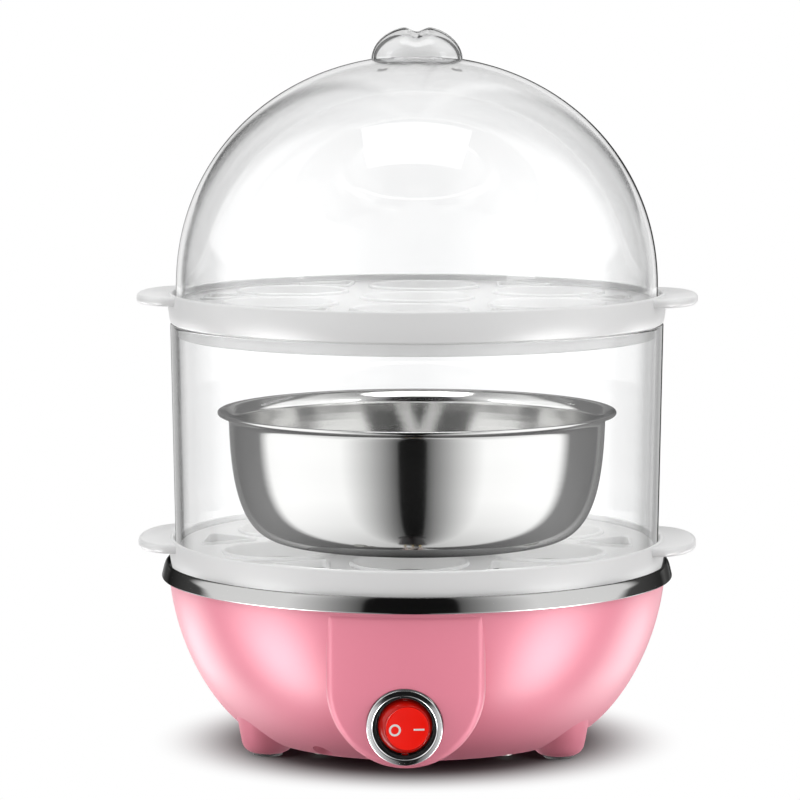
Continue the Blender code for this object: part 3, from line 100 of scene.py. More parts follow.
# Sizes of the switch and the cord inlet, where a depth is the distance from the object's axis
SWITCH_Z = 19.7
SWITCH_SEAT = 79.964
FLANGE_LOW = 80.264
FLANGE_TOP = 81.064
WELL_FLOOR = 70.464
WELL_R = 9.1
HOUSING_R = 9.9
HOUSING_BACK = 62.464
BEZEL_R = 12.0
BEZEL_BORE_R = 9.9
BEZEL_LIP_R = 11.5
BEZEL_BACK = 81.364
BEZEL_FRONT = 83.164
ROCKER_OUT = 78.764
ROCKER_REST = math.radians(11)
ROCKER_R = 8.6
ROCKER_FACE_R = 7.07
ROCKER_EDGE = 4.9
ROCKER_BACK = 3.0
DISC_R = 6.75
DISC_STEP = 0.12
MARK_HALF = 0.06
MARK_DROP = 0.4
INLET_Z = 27.0
INLET_FACE = 79.4

# Sizes of the pan, the trays, the clear pieces and the bowl
PAN_R = 79.0
PAN_CORNER = 9.0
PAN_DEPTH = 19.0
PAN_SHEET = 0.6
BAND_LIP = 55.9
BAND_RISE = 2.5
TRAY_R = 82.0
SEAT_PITCH = 50.0
SEAT_RIM_R = 19.1
SEAT_MOUTH_R = 17.8
SEAT_HOLE_R = 15.4
SEAT_CUT_R = 18.4
VENT_COUNT = 6
EAR_ROOT_R = 81.2
EAR_REACH = 11.3
EAR_HALF = 27.0
DOME_R = 79.35
DOME_RISE = 75.6
DOME_FULLNESS = 2.06
DOME_SKIRT = 4.0
DOME_WALL = 1.5
STEAM_HOLE_R = 1.8
STEAM_HOLE_PITCH = 22.0
STEAM_HOLE_SWING = math.radians(35)
BOWL_NECK_R = 62.3
BOWL_FOOT_R = 44.0
BOWL_SHEET = 0.8
BOWL_ROLL_R = 0.65

# The tray's turned line as radius, height from the rim and fillet: deck, wall, shoulder and skirt
TRAY_LINE = (
    (0, -2.4, 0),
    (80.4, -2.4, 0.5),
    (80.4, 0, 0.75),
    (TRAY_R, 0, 0.75),
    (TRAY_R, -6.2, 3.0),
    (81.2, -10.0, 0.7),
    (78.7, -10.0, 0.4),
    (78.7, -14.3, 0.6),
    (77.1, -14.3, 0.6),
    (77.1, -8.4, 0.5),
    (80.0, -8.4, 0.5),
    (80.0, -4.0, 0.5),
    (0, -4.0, 0),
)

# Half width, half depth, height and groove of the knob and of its hollow
KNOB = (15.0, 9.0, 11.3, 2.0)
KNOB_HOLLOW = (13.4, 7.4, 9.0, 1.6)


def low(node):
    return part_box(node)[0] / MM


def high(node):
    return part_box(node)[1] / MM


# Camera, fitted to the photograph
CAMERA_AT = (58.9, -1248.6, 247.9)
CAMERA_DOWN = math.radians(6.12)
CAMERA_ROUND = math.radians(2.7)
CAMERA_LENS = 170.9
CAMERA_SHIFT = -17 / 800


def make_camera():
    data = bpy.data.cameras.new("camera")
    data.lens = CAMERA_LENS
    data.sensor_width = 36.0
    data.shift_x = CAMERA_SHIFT
    data.clip_start = 0.05
    data.clip_end = 50.0
    camera = bpy.data.objects.new("camera", data)
    camera.location = Vector(CAMERA_AT) * MM
    camera.rotation_euler = (math.pi / 2 - CAMERA_DOWN, 0.0, CAMERA_ROUND)
    bpy.context.scene.collection.objects.link(camera)
    bpy.context.scene.camera = camera


# Mesh helpers


def held(profile):
    """The same line with a point near each end of its long runs, which keeps their shading straight."""
    points = [tuple(profile[0])]
    for here, ahead in zip(profile, profile[1:]):
        run = Vector(ahead) - Vector(here)
        if run.length > HOLD_FROM:
            step = run.normalized() * HOLD
            points += [tuple(Vector(here) + step), tuple(Vector(ahead) - step)]
        points.append(tuple(ahead))
    return points


def lathe(profile, steps=ROUND):
    """Spins (radius, height) pairs about +Z. The line ends on the axis, or it is closed."""
    if profile[0][0] > 0.0 or profile[-1][0] > 0.0:
        profile = [*profile, profile[0]]
    bm = bmesh.new()
    verts = [bm.verts.new((r, 0.0, z)) for r, z in held(profile)]
    edges = [bm.edges.new(pair) for pair in zip(verts, verts[1:])]
    bmesh.ops.spin(bm, geom=verts + edges, cent=(0, 0, 0), axis=(0, 0, 1), angle=math.tau, steps=steps)
    return cleaned(bm)


def cleaned(bm):
    bmesh.ops.remove_doubles(bm, verts=bm.verts, dist=MERGE)
    bmesh.ops.recalc_face_normals(bm, faces=bm.faces)
    return bm


def filleted(corners, steps=FILLET_STEPS):
    """A line through (x, y, fillet) corners, each rounded over that length to either side."""
    points = []
    for k, (x, y, size) in enumerate(corners):
        here = Vector((x, y))
        if not size:
            points.append((x, y))
            continue
        back = Vector(corners[k - 1][:2]) - here
        ahead = Vector(corners[(k + 1) % len(corners)][:2]) - here
        start = here + back.normalized() * min(size, back.length / 2)
        end = here + ahead.normalized() * min(size, ahead.length / 2)
        for j in range(steps + 1):
            t = j / steps
            spot = start * (1 - t) ** 2 + here * 2 * t * (1 - t) + end * t**2
            points.append((spot.x, spot.y))
    return points


def arc(centre, radius, start, end, steps):
    turns = [start + (end - start) * k / steps for k in range(steps + 1)]
    return [(centre[0] + radius * math.cos(turn), centre[1] + radius * math.sin(turn)) for turn in turns]


def bezier(p0, p1, p2, p3, steps):
    points = []
    for k in range(steps + 1):
        t = k / steps
        s = 1 - t
        weights = (s**3, 3 * s * s * t, 3 * s * t * t, t**3)
        points.append(tuple(sum(w * p[i] for w, p in zip(weights, (p0, p1, p2, p3))) for i in (0, 1)))
    return points


def offset(points, distance):
    """Moves an open line sideways, to its right as it runs."""
    out = []
    for k, spot in enumerate(points):
        before = Vector(spot) - Vector(points[k - 1]) if k else None
        after = Vector(points[k + 1]) - Vector(spot) if k + 1 < len(points) else None
        first = (before or after).normalized()
        second = (after or before).normalized()
        side = (Vector((first.y, -first.x)) + Vector((second.y, -second.x))).normalized()
        reach = distance / max(side.dot(Vector((first.y, -first.x))), 0.3)
        out.append((spot[0] + side.x * reach, spot[1] + side.y * reach))
    return out


def grown(outline, distance):
    """Moves a closed outline outwards by this distance."""
    middle = sum((Vector(p) for p in outline), Vector((0, 0))) / len(outline)
    out = []
    for k, spot in enumerate(outline):
        ahead = Vector(outline[(k + 1) % len(outline)]) - Vector(outline[k - 1])
        side = Vector((ahead.y, -ahead.x)).normalized()
        if side.dot(Vector(spot) - middle) < 0:
            side = -side
        out.append((spot[0] + side.x * distance, spot[1] + side.y * distance))
    return out


def skinned(loops, fill=True, joined=False):
    """Joins loops of 3-D points by faces, with filled ends, or with the last loop joined to the first."""
    bm = bmesh.new()
    made = [[bm.verts.new(point) for point in loop] for loop in loops]
    pairs = list(zip(made, made[1:])) + ([(made[-1], made[0])] if joined else [])
    for first, second in pairs:
        for k in range(len(first)):
            j = (k + 1) % len(first)
            bm.faces.new((first[k], first[j], second[j], second[k]))
    if fill and not joined:
        bm.faces.new(made[0])
        bm.faces.new(made[-1])
    return cleaned(bm)


def prism(outline, floor, roof):
    return skinned([[(x, y, z) for x, y in outline] for z in (floor, roof)])


def rod(radius, floor, roof, steps=SMALL):
    return prism(around(steps, radius), floor, roof)


def at(bm, x=0.0, y=0.0, z=0.0):
    bmesh.ops.translate(bm, vec=(x, y, z), verts=bm.verts)
    return bm


def turned(bm, angle, axis):
    bmesh.ops.rotate(bm, cent=(0, 0, 0), matrix=Matrix.Rotation(angle, 3, axis), verts=bm.verts)
    return bm


def faced_front(bm):
    return turned(bm, math.pi / 2, "X")


def faced_back(bm):
    return turned(bm, -math.pi / 2, "X")


def together(parts):
    """Several closed solids that stay apart, in one bmesh."""
    whole = bmesh.new()
    for part in parts:
        mesh = bpy.data.meshes.new("part")
        part.to_mesh(mesh)
        part.free()
        whole.from_mesh(mesh)
        bpy.data.meshes.remove(mesh)
    return whole


def helper(bm):
    mesh = bpy.data.meshes.new("helper")
    bm.to_mesh(mesh)
    bm.free()
    obj = bpy.data.objects.new("helper", mesh)
    bpy.context.scene.collection.objects.link(obj)
    return obj


def combined(solid, operation, *others):
    """The Boolean of closed solids, worked out at once, with its helpers removed."""
    base = helper(solid)
    tools = [helper(other) for other in others]
    for tool in tools:
        step = base.modifiers.new("step", "BOOLEAN")
        step.operation = operation
        step.solver = "MANIFOLD"
        step.object = tool
    graph = bpy.context.evaluated_depsgraph_get()
    mesh = bpy.data.meshes.new_from_object(base.evaluated_get(graph))
    bm = bmesh.new()
    bm.from_mesh(mesh)
    bpy.data.meshes.remove(mesh)
    for obj in [base, *tools]:
        bpy.data.meshes.remove(obj.data)
    return bm


def around(count, radius, first=0.0):
    turns = [first + math.tau * k / count for k in range(count)]
    return [(radius * math.cos(turn), radius * math.sin(turn)) for turn in turns]


def follow(mesh, profile, near=0.04, steep=0.97):
    """Gives the faces that lie on a turned line the normals of that line, so that cuts don't mark the gloss."""
    line = np.array(held(profile), float)
    run = np.diff(line, axis=0)
    run_length = np.maximum(np.linalg.norm(run, axis=1), 1e-9)
    side = np.stack([run[:, 1], -run[:, 0]], 1) / run_length[:, None]
    at_points = np.vstack([side[:1], side[:-1] + side[1:], side[-1:]])
    at_points /= np.maximum(np.linalg.norm(at_points, axis=1), 1e-9)[:, None]
    count = len(mesh.loops)
    corner = np.empty(count, np.int32)
    mesh.loops.foreach_get("vertex_index", corner)
    co = np.empty(len(mesh.vertices) * 3, np.float32)
    mesh.vertices.foreach_get("co", co)
    co = co.reshape(-1, 3).astype(float)[corner] / MM
    face_normal = np.empty(len(mesh.polygons) * 3, np.float32)
    mesh.polygons.foreach_get("normal", face_normal)
    sizes = np.empty(len(mesh.polygons), np.int32)
    mesh.polygons.foreach_get("loop_total", sizes)
    face_normal = np.repeat(face_normal.reshape(-1, 3), sizes, axis=0)
    radius = np.hypot(co[:, 0], co[:, 1])
    spot = np.stack([radius, co[:, 2]], 1)
    best = np.full(count, np.inf)
    found = np.zeros((count, 2))
    for k in range(len(run)):
        share = np.clip(((spot - line[k]) @ run[k]) / run_length[k] ** 2, 0, 1)
        gap = np.linalg.norm(spot - line[k] - share[:, None] * run[k], axis=1)
        closer = gap < best
        best[closer] = gap[closer]
        found[closer] = (at_points[k] + share[:, None] * (at_points[k + 1] - at_points[k]))[closer]
    away = np.maximum(radius, 1e-6)[:, None]
    normal = np.hstack([found[:, :1] * co[:, :2] / away, found[:, 1:]])
    normal /= np.maximum(np.linalg.norm(normal, axis=1), 1e-9)[:, None]
    facing = (normal * face_normal).sum(1)
    normal *= np.sign(facing)[:, None]
    kept = np.empty(count * 3, np.float32)
    mesh.corner_normals.foreach_get("vector", kept)
    kept = kept.reshape(-1, 3)
    use = (best < near) & (np.abs(facing) > steep)
    kept[use] = normal[use]
    mesh.normals_split_custom_set(kept.tolist())


def make(name, bm, material, body, nodes=(), sharp=SHARP, profile=None):
    """Turns a bmesh into a piece that rides on a body and stands for these nodes."""
    bmesh.ops.scale(bm, vec=(MM, MM, MM), verts=bm.verts)
    bmesh.ops.recalc_face_normals(bm, faces=bm.faces)
    mesh = bpy.data.meshes.new(name)
    bm.to_mesh(mesh)
    bm.free()
    mesh.shade_smooth()
    mesh.set_sharp_from_angle(angle=sharp)
    if profile:
        follow(mesh, profile)
    mesh.materials.append(material)
    obj = bpy.data.objects.new(name, mesh)
    bpy.context.scene.collection.objects.link(obj)
    # In gloss, steel shows the studio, the bowl and the lid, and the bezel shows the dark well of the switch.
    obj.visible_glossy = body in ("bowl", "lid") or name == "housing"
    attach(obj, body)
    if nodes:
        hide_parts(*nodes)
    return obj


# Materials


def link(tree, source, target):
    tree.links.new(source, target)


def node(tree, kind, **values):
    made = tree.nodes.new(kind)
    for key, value in values.items():
        if key in made.inputs:
            made.inputs[key].default_value = value
        else:
            setattr(made, key, value)
    return made


def math_node(tree, operation, first, second=None):
    made = node(tree, "ShaderNodeMath", operation=operation)
    for socket, value in zip(made.inputs, (first, second)):
        if value is None:
            continue
        if isinstance(value, (int, float)):
            socket.default_value = value
        else:
            link(tree, value, socket)
    return made.outputs[0]


def product(tree, *factors):
    whole = factors[0]
    for factor in factors[1:]:
        whole = math_node(tree, "MULTIPLY", whole, factor)
    return whole


def mapped(tree, value, start, end, kind="LINEAR"):
    """Takes a value from one (low, high) range to another and holds it at both ends."""
    made = node(tree, "ShaderNodeMapRange", interpolation_type=kind)
    for name, limit in zip(("From Min", "From Max", "To Min", "To Max"), (*start, *end)):
        made.inputs[name].default_value = limit
    link(tree, value, made.inputs["Value"])
    return made.outputs["Result"]


def ramped(tree, value, stops):
    """A grey level that follows a value, from (value, level) stops in rising order."""
    lowest, highest = stops[0][0], stops[-1][0]
    ramp = node(tree, "ShaderNodeValToRGB")
    points = ramp.color_ramp.elements
    for k, (spot, level) in enumerate(stops):
        share = (spot - lowest) / (highest - lowest)
        point = points[k] if k < 2 else points.new(share)
        point.position = share
        point.color = (level, level, level, 1.0)
    link(tree, mapped(tree, value, (lowest, highest), (0.0, 1.0)), ramp.inputs["Fac"])
    return ramp.outputs["Color"]


def object_place(tree, rings):
    """Object coordinates in metres, or for turned metal the distance from the axis and the height."""
    coords = node(tree, "ShaderNodeTexCoord").outputs["Object"]
    if not rings:
        return coords
    flat = node(tree, "ShaderNodeVectorMath", operation="MULTIPLY")
    flat.inputs[1].default_value = (1.0, 1.0, 0.0)
    link(tree, coords, flat.inputs[0])
    length = node(tree, "ShaderNodeVectorMath", operation="LENGTH")
    link(tree, flat.outputs[0], length.inputs[0])
    parts = node(tree, "ShaderNodeSeparateXYZ")
    link(tree, coords, parts.inputs[0])
    whole = node(tree, "ShaderNodeCombineXYZ")
    link(tree, length.outputs["Value"], whole.inputs[0])
    link(tree, parts.outputs[2], whole.inputs[2])
    return whole.outputs[0]


def object_height(tree):
    """The height in millimetres."""
    parts = node(tree, "ShaderNodeSeparateXYZ")
    link(tree, node(tree, "ShaderNodeTexCoord").outputs["Object"], parts.inputs[0])
    return math_node(tree, "MULTIPLY", parts.outputs[2], 1000.0)


def noise(tree, place, scale, detail=3.0):
    made = node(tree, "ShaderNodeTexNoise", Scale=scale, Detail=detail)
    link(tree, place, made.inputs["Vector"])
    return made.outputs["Fac"]


def spread(tree, source, start, end):
    """Takes noise, which seldom leaves its middle range, to a range of its own."""
    return mapped(tree, source, (0.15, 0.85), (start, end))


def surface(
    name,
    colour,
    other,
    roughness,
    cloud=40.0,
    grain=900.0,
    relief=0.05,
    depth=0.1,
    rings=False,
    stretch=None,
    painted_shade=None,
    dull=None,
    **sockets,
):
    """A Principled material whose colour, gloss and fine relief vary over the surface.

    Both take (height, value) stops: painted shade, as a factor on the colour at that height, and dull, the least
    roughness at that height.
    """
    made = bpy.data.materials.new(name)
    made.use_nodes = True
    tree = made.node_tree
    shader = tree.nodes["Principled BSDF"]
    for socket, value in sockets.items():
        shader.inputs[socket.replace("_", " ")].default_value = value
    place = object_place(tree, rings)
    if stretch:
        mapping = node(tree, "ShaderNodeMapping", Scale=stretch)
        link(tree, place, mapping.inputs["Vector"])
        place = mapping.outputs[0]
    patches = noise(tree, place, cloud)
    mix = node(tree, "ShaderNodeMix", data_type="RGBA")
    # A mix node has sockets of the same names for numbers, vectors and colours.
    colour_sockets = [socket for socket in mix.inputs if socket.type == "RGBA"]
    for socket, value in zip(colour_sockets, (colour, other)):
        socket.default_value = (*value, 1.0)
    link(tree, spread(tree, patches, 0.0, 1.0), mix.inputs["Factor"])
    result = [socket for socket in mix.outputs if socket.type == "RGBA"][0]
    # Painted shade: the colour is darkened by height.
    if painted_shade:
        shaded = node(tree, "ShaderNodeVectorMath", operation="MULTIPLY")
        link(tree, result, shaded.inputs[0])
        link(tree, ramped(tree, object_height(tree), painted_shade), shaded.inputs[1])
        result = shaded.outputs[0]
    gloss = spread(tree, patches, *roughness)
    if dull:
        gloss = math_node(tree, "MAXIMUM", gloss, ramped(tree, object_height(tree), dull))
    link(tree, result, shader.inputs["Base Color"])
    link(tree, gloss, shader.inputs["Roughness"])
    bump = node(tree, "ShaderNodeBump", Strength=relief, Distance=depth * MM)
    link(tree, noise(tree, place, grain, 2.0), bump.inputs["Height"])
    link(tree, bump.outputs[0], shader.inputs["Normal"])
    return made


def pink_plastic():
    return surface(
        "pink_plastic",
        (0.93, 0.28, 0.38),
        (0.935, 0.285, 0.385),
        (0.28, 0.3),
        cloud=25.0,
        grain=700.0,
        relief=0.04,
        # Painted shade: the pink is darker towards the bottom of the shell.
        painted_shade=[(0, 0.82), (6, 0.84), (30, 1.0), (60, 1.0)],
        dull=[(0, 0.7), (6, 0.65), (30, 0.28), (60, 0.28)],
        IOR=1.5,
    )


def white_plastic():
    return surface(
        "white_plastic",
        (0.74, 0.74, 0.74),
        (0.755, 0.755, 0.753),
        (0.28, 0.31),
        cloud=60.0,
        grain=800.0,
        relief=0.03,
    )


def clear_plastic(name, density, painted_shade=None):
    made = surface(
        name,
        (0.985, 0.988, 0.99),
        (1.0, 1.0, 1.0),
        (0.008, 0.02),
        cloud=30.0,
        grain=120.0,
        relief=0.015,
        depth=0.05,
        painted_shade=painted_shade,
        Transmission_Weight=1.0,
        IOR=1.5,
    )
    tree = made.node_tree
    soak = node(tree, "ShaderNodeVolumeAbsorption", Color=(0.1, 0.1, 0.1, 1.0), Density=density)
    link(tree, soak.outputs[0], tree.nodes["Material Output"].inputs["Volume"])
    return made


def steel(name, colour, roughness, grain, relief, rings=True):
    other = tuple(c * 0.94 for c in colour)
    return surface(
        name,
        colour,
        other,
        roughness,
        cloud=90.0,
        grain=grain,
        relief=relief,
        depth=0.05,
        rings=rings,
        Metallic=1.0,
        Specular_Tint=(0.1, 0.1, 0.1, 1.0),
    )


def red_plastic(name, colour, other, glow):
    return surface(
        name,
        colour,
        other,
        (0.08, 0.14),
        cloud=120.0,
        grain=500.0,
        relief=0.02,
        Specular_IOR_Level=0.25,
        # Painted glow: the red plastic gives off red light of its own, though it is no lamp.
        Emission_Color=(1.0, 0.008, 0.0, 1.0),
        Emission_Strength=glow,
    )


def plain_materials():
    """The finishes of the inner and small pieces, by the name of the slot."""
    metals = {
        "bezel": ("plated_bezel", (0.82, 0.82, 0.83), (0.08, 0.14), 900.0, 0.03),
        "zinc": ("zinc_plate", (0.55, 0.55, 0.52), (0.3, 0.45), 1200.0, 0.2),
        "plate": ("cast_aluminium", (0.68, 0.68, 0.69), (0.35, 0.5), 1500.0, 0.4),
        "brass": ("brass", (0.72, 0.52, 0.2), (0.28, 0.4), 1500.0, 0.15),
    }
    others = {
        "rubber": ("black_rubber", (0.02, 0.02, 0.02), (0.035, 0.035, 0.034), (0.6, 0.75), 200.0, 2500.0, 0.4),
        "silicone": ("silicone", (0.7, 0.69, 0.66), (0.76, 0.75, 0.72), (0.45, 0.6), 150.0, 1500.0, 0.2),
        "housing": ("black_nylon", (0.012, 0.012, 0.013), (0.02, 0.02, 0.021), (0.28, 0.4), 200.0, 2500.0, 0.15),
        "ceramic": ("steatite", (0.8, 0.76, 0.68), (0.72, 0.68, 0.6), (0.5, 0.7), 300.0, 3000.0, 0.3),
        "sheath": ("wire_sheath", (0.74, 0.71, 0.65), (0.66, 0.63, 0.57), (0.4, 0.55), 400.0, 3500.0, 0.4),
        "cap": ("crimp_cap", (0.8, 0.8, 0.78), (0.74, 0.74, 0.72), (0.3, 0.45), 300.0, 1500.0, 0.15),
    }
    made = {slot: steel(*values, rings=False) for slot, values in metals.items()}
    made |= {slot: surface(*values) for slot, values in others.items()}
    sleeve = ("woven_sleeve", (0.66, 0.55, 0.3), (0.45, 0.36, 0.18), (0.7, 0.85), 2500.0, 3000.0, 0.8)
    made["sleeve"] = surface(*sleeve, stretch=(1, 3, 3))
    lamp = ("neon_lamp", (0.9, 0.5, 0.35), (0.95, 0.62, 0.45), (0.05, 0.12), 300.0, 900.0, 0.05)
    made["lamp"] = surface(*lamp, Transmission_Weight=0.6)
    return made


# Base


def shell_side(steps=48):
    return bezier(*SHELL_LINE, steps)


def tongue_face(x, z):
    """How far out the tongue's face stands: crowned like the rim above it, leaning in below."""
    return math.sqrt(TONGUE_OUT**2 - x * x) - TONGUE_LEAN * (TONGUE_TOP - z)


def tongue_outline(inset):
    half = TONGUE_HALF - inset
    top = TONGUE_TOP - inset
    middle = TONGUE_MIDDLE
    count = 24
    across = [(half * (2 * k / count - 1), top) for k in range(count)]
    down = [(half, top + (middle - top) * k / count) for k in range(count)]
    up = [(-half, z) for _, z in reversed(down[1:])]
    return across + down + arc((0.0, middle), half, 0.0, -math.pi, 48) + up


def tongue(inset):
    """The tongue as a solid, shrunk by this much all round, with a rounded front edge and a crowned face."""
    middle = TONGUE_MIDDLE
    loops = [[(x, TONGUE_ROOT - tongue_face(x, z), z) for x, z in tongue_outline(inset)]]
    steps = 8
    for k in range(steps + 1):
        turn = math.pi / 2 * k / steps
        depth = inset + TONGUE_EDGE * (1 - math.sin(turn))
        outline = tongue_outline(inset + TONGUE_EDGE * (1 - math.cos(turn)))
        loops.append([(x, depth - tongue_face(x, z), z) for x, z in outline])
    for k in range(11, 0, -1):
        share = k / 12
        inner = [(x * share, middle + (z - middle) * share) for x, z in outline]
        loops.append([(x, inset - tongue_face(x, z), z) for x, z in inner])
    bm = bmesh.new()
    made = [[bm.verts.new(point) for point in loop] for loop in loops]
    for outer, inner in zip(made, made[1:]):
        for k in range(len(outer)):
            j = (k + 1) % len(outer)
            bm.faces.new((outer[k], outer[j], inner[j], inner[k]))
    for loop, depth in ((made[0], TONGUE_ROOT), (made[-1], inset)):
        hub = bm.verts.new((0.0, depth - tongue_face(0.0, middle), middle))
        for k in range(len(loop)):
            bm.faces.new((loop[k], loop[(k + 1) % len(loop)], hub))
    return cleaned(bm)


def foot():
    """A short round foot that narrows downwards and is rounded like a ball at its tip."""
    corners = [(0.0, FOOT_TOP, 0), (FOOT_R + 2.4, FOOT_TOP, 0), (FOOT_R + 0.6, 8.5, 4.0)]
    corners += [(FOOT_TIP_R, FOOT_TIP, 4.6), (0.0, FOOT_TIP, 0)]
    return lathe(filleted(corners, 8), SMALL)


def foot_places():
    """The middles of the four feet, from the pads under them."""
    places = []
    for k in range(1, FOOT_COUNT + 1):
        middle = (low(f"foot_pad_{k}") + high(f"foot_pad_{k}")) / 2
        places.append((middle.x, middle.y))
    return places


def pan_posts():
    return around(3, PAN_POST_PITCH)


def cover_screws():
    return around(4, COVER_SCREW_PITCH, math.pi / 4)


def shell_outside(side):
    """The shell as a full solid with its tongue, feet and the boss of the cord inlet."""
    shell = lathe([(0.0, SHELL_TOP), *side, (0.0, SHELL_FLOOR)])
    boss = filleted([(0, INLET_FACE, 0), (8.6, INLET_FACE, 1.1), (8.6, 67.4, 0), (0, 67.4, 0)])
    boss = at(faced_back(lathe(boss, RING)), z=INLET_Z)
    feet = together([at(foot(), x, y) for x, y in foot_places()])
    return combined(shell, "UNION", tongue(0.0), feet, boss)


def shell_hollow(side):
    """The room inside the shell and its tongue, with the ledge that the cover meets."""
    wall = [p for p in offset(side, SHELL_WALL) if p[1] > HOLLOW_FLOOR + 0.2]
    wall[0] = (SHELL_MOUTH_R, SHELL_TOP)
    cavity = [(0.0, SHELL_TOP + 3.0), (SHELL_MOUTH_R, SHELL_TOP + 3.0)] + wall
    cavity += [(HOLLOW_FLOOR_R, HOLLOW_FLOOR), (LEDGE_BORE_R, HOLLOW_FLOOR), (LEDGE_BORE_R, LEDGE_Z)]
    cavity += [(LEDGE_R, LEDGE_Z), (LEDGE_R, -1.0), (0.0, -1.0)]
    return combined(lathe(cavity), "UNION", tongue(SHELL_WALL))


def shell_posts(side):
    """The posts of the pan's and the cover's screws, cut back to stay within the wall."""
    posts = [at(rod(PAN_POST_R, 6.4, 31.7), x, y) for x, y in pan_posts()]
    posts += [at(rod(COVER_POST_R, 5.4, 14.8), x, y) for x, y in cover_screws()]
    within = lathe([(0.0, SHELL_TOP)] + offset(side, 0.6) + [(0.0, SHELL_FLOOR + 0.6)])
    return combined(together(posts), "INTERSECT", within)


def shell_cuts():
    """The screws' holes, the pads' recesses, and the openings for the switch and the cord inlet."""
    bore = ((0, 41.8), (1.9, 41.8), (1.9, 14.0), (3.3, 14.0), (3.3, CUT_BELOW), (0, CUT_BELOW))
    cuts = [at(lathe(bore, SMALL), x, y) for x, y in pan_posts()]
    cuts += [at(rod(1.4, 2.6, 10.6), x, y) for x, y in cover_screws()]
    cuts += [at(rod(5.1, CUT_BELOW, 1.8), x, y) for x, y in foot_places()]
    switch = [(0, 85.4), (12.9, 85.4), (12.3, 81.6), (12.3, SWITCH_SEAT), (10.2, SWITCH_SEAT)]
    switch += [(10.2, 62.0), (0, 62.0)]
    cuts.append(at(faced_front(lathe(switch, RING)), z=SWITCH_Z))
    inlet = [(0, 91.0), (7.2, 91.0), (7.2, INLET_FACE), (5.2, INLET_FACE), (5.2, 60.0), (0, 60.0)]
    cuts.append(at(faced_back(lathe(inlet, RING)), z=INLET_Z))
    return together(cuts)


def make_base(pink, finishes):
    side = shell_side()
    shell = combined(shell_outside(side), "DIFFERENCE", shell_hollow(side))
    shell = combined(shell, "UNION", shell_posts(side))
    shell = combined(shell, "DIFFERENCE", shell_cuts())
    make("shell", shell, pink, "base", ["base_shell"], profile=side)
    make_cover(pink)
    for k, (x, y) in enumerate(foot_places(), 1):
        pad = lathe(filleted([(0, 1.5, 0), (4.8, 1.5, 0.2), (4.8, 0.0, 0.5), (0, 0.0, 0)]), SMALL)
        make(f"pad_{k}", at(pad, x, y), finishes["rubber"], "base", [f"foot_pad_{k}"])
    for k in range(1, 5):
        make_cover_screw(k, finishes["zinc"])


def make_cover(pink):
    """The disc that closes the shell from below, with five slots and four screw holes."""
    line = [(0, COVER_ROOF, 0), (COVER_R, COVER_ROOF, 0.3), (COVER_R, SHELL_FLOOR, 0.4), (0, SHELL_FLOOR, 0)]
    holes = [at(rod(1.5, 0.0, 7.0), x, y) for x, y in cover_screws()]
    for k in range(5):
        y = (k - 2) * COVER_SLOT_PITCH
        slot = arc((COVER_SLOT_HALF, y), COVER_SLOT_R, -math.pi / 2, math.pi / 2, 10)
        slot += arc((-COVER_SLOT_HALF, y), COVER_SLOT_R, math.pi / 2, 1.5 * math.pi, 10)
        holes.append(prism(slot, 0.0, 7.0))
    cover = combined(lathe(filleted(line)), "DIFFERENCE", together(holes))
    make("cover", cover, pink, "base", ["bottom_cover"])


def make_cover_screw(number, finish):
    """A pan-head screw with a cross recess, seen from below."""
    name = f"cover_screw_{number}"
    middle = (low(name) + high(name)) / 2
    line = [(0, 10.3, 0), (1.1, 9.2, 0), (1.1, 2.3, 0), (2.7, 2.3, 0.25), (2.3, 0.9, 0.6), (0, 0.9, 0)]
    arms = []
    for wide, deep in ((1.5, 0.35), (0.35, 1.5)):
        arms.append(prism([(-wide, -deep), (wide, -deep), (wide, deep), (-wide, deep)], 0.0, 1.7))
    screw = combined(lathe(filleted(line), SMALL), "DIFFERENCE", *arms)
    make(f"screw_{number}", at(screw, middle.x, middle.y), finish, "base", [name])


def make_pan_piece(finish):
    """The rolled rim and the dish of the heating pan."""
    seat = high("heating_pan").z - BAND_RISE
    floor = seat - PAN_DEPTH
    top = seat + BAND_RISE
    corner = (67.8, floor + PAN_CORNER)
    inside = [(PAN_R, seat), (PAN_R, seat - 4.6)]
    inside += arc(corner, PAN_CORNER, 0.0, -math.pi / 2, 14) + [(0.0, floor)]
    outside = offset(inside, -PAN_SHEET)
    outside[0] = (PAN_R + PAN_SHEET, seat - PAN_SHEET)
    outside[-1] = (0.0, floor - PAN_SHEET)
    roll = [(82.5, BAND_LIP + 0.2, 0), (82.8, BAND_LIP, 0.2), (84.7, BAND_LIP, 0.45), (83.85, top - 1.5, 1.2)]
    roll += [(83.2, top, 0.9), (82.6, top, 0.3), (82.5, seat + 0.2, 0)]
    profile = list(reversed(outside)) + [(82.5, seat - PAN_SHEET)] + filleted(roll, 8) + [(82.5, seat)] + inside
    make("pan", lathe(list(reversed(profile))), finish, "base", ["heating_pan"])


def make_seal(finish):
    """The ring that the pan rests on."""
    outer, roof, floor = high("pan_seal").x, high("pan_seal").z, low("pan_seal").z
    ring = [(outer - 1.4, floor, 0.3), (outer, floor, 0.3), (outer, roof, 0.3), (outer - 1.4, roof, 0.3)]
    make("seal", lathe(filleted(ring)), finish, "base", ["pan_seal"])


def make_switch(finishes):
    make_housing(finishes["housing"])
    make_bezel(finishes["bezel"])
    make_button()
    make_marks(finishes["cap"])


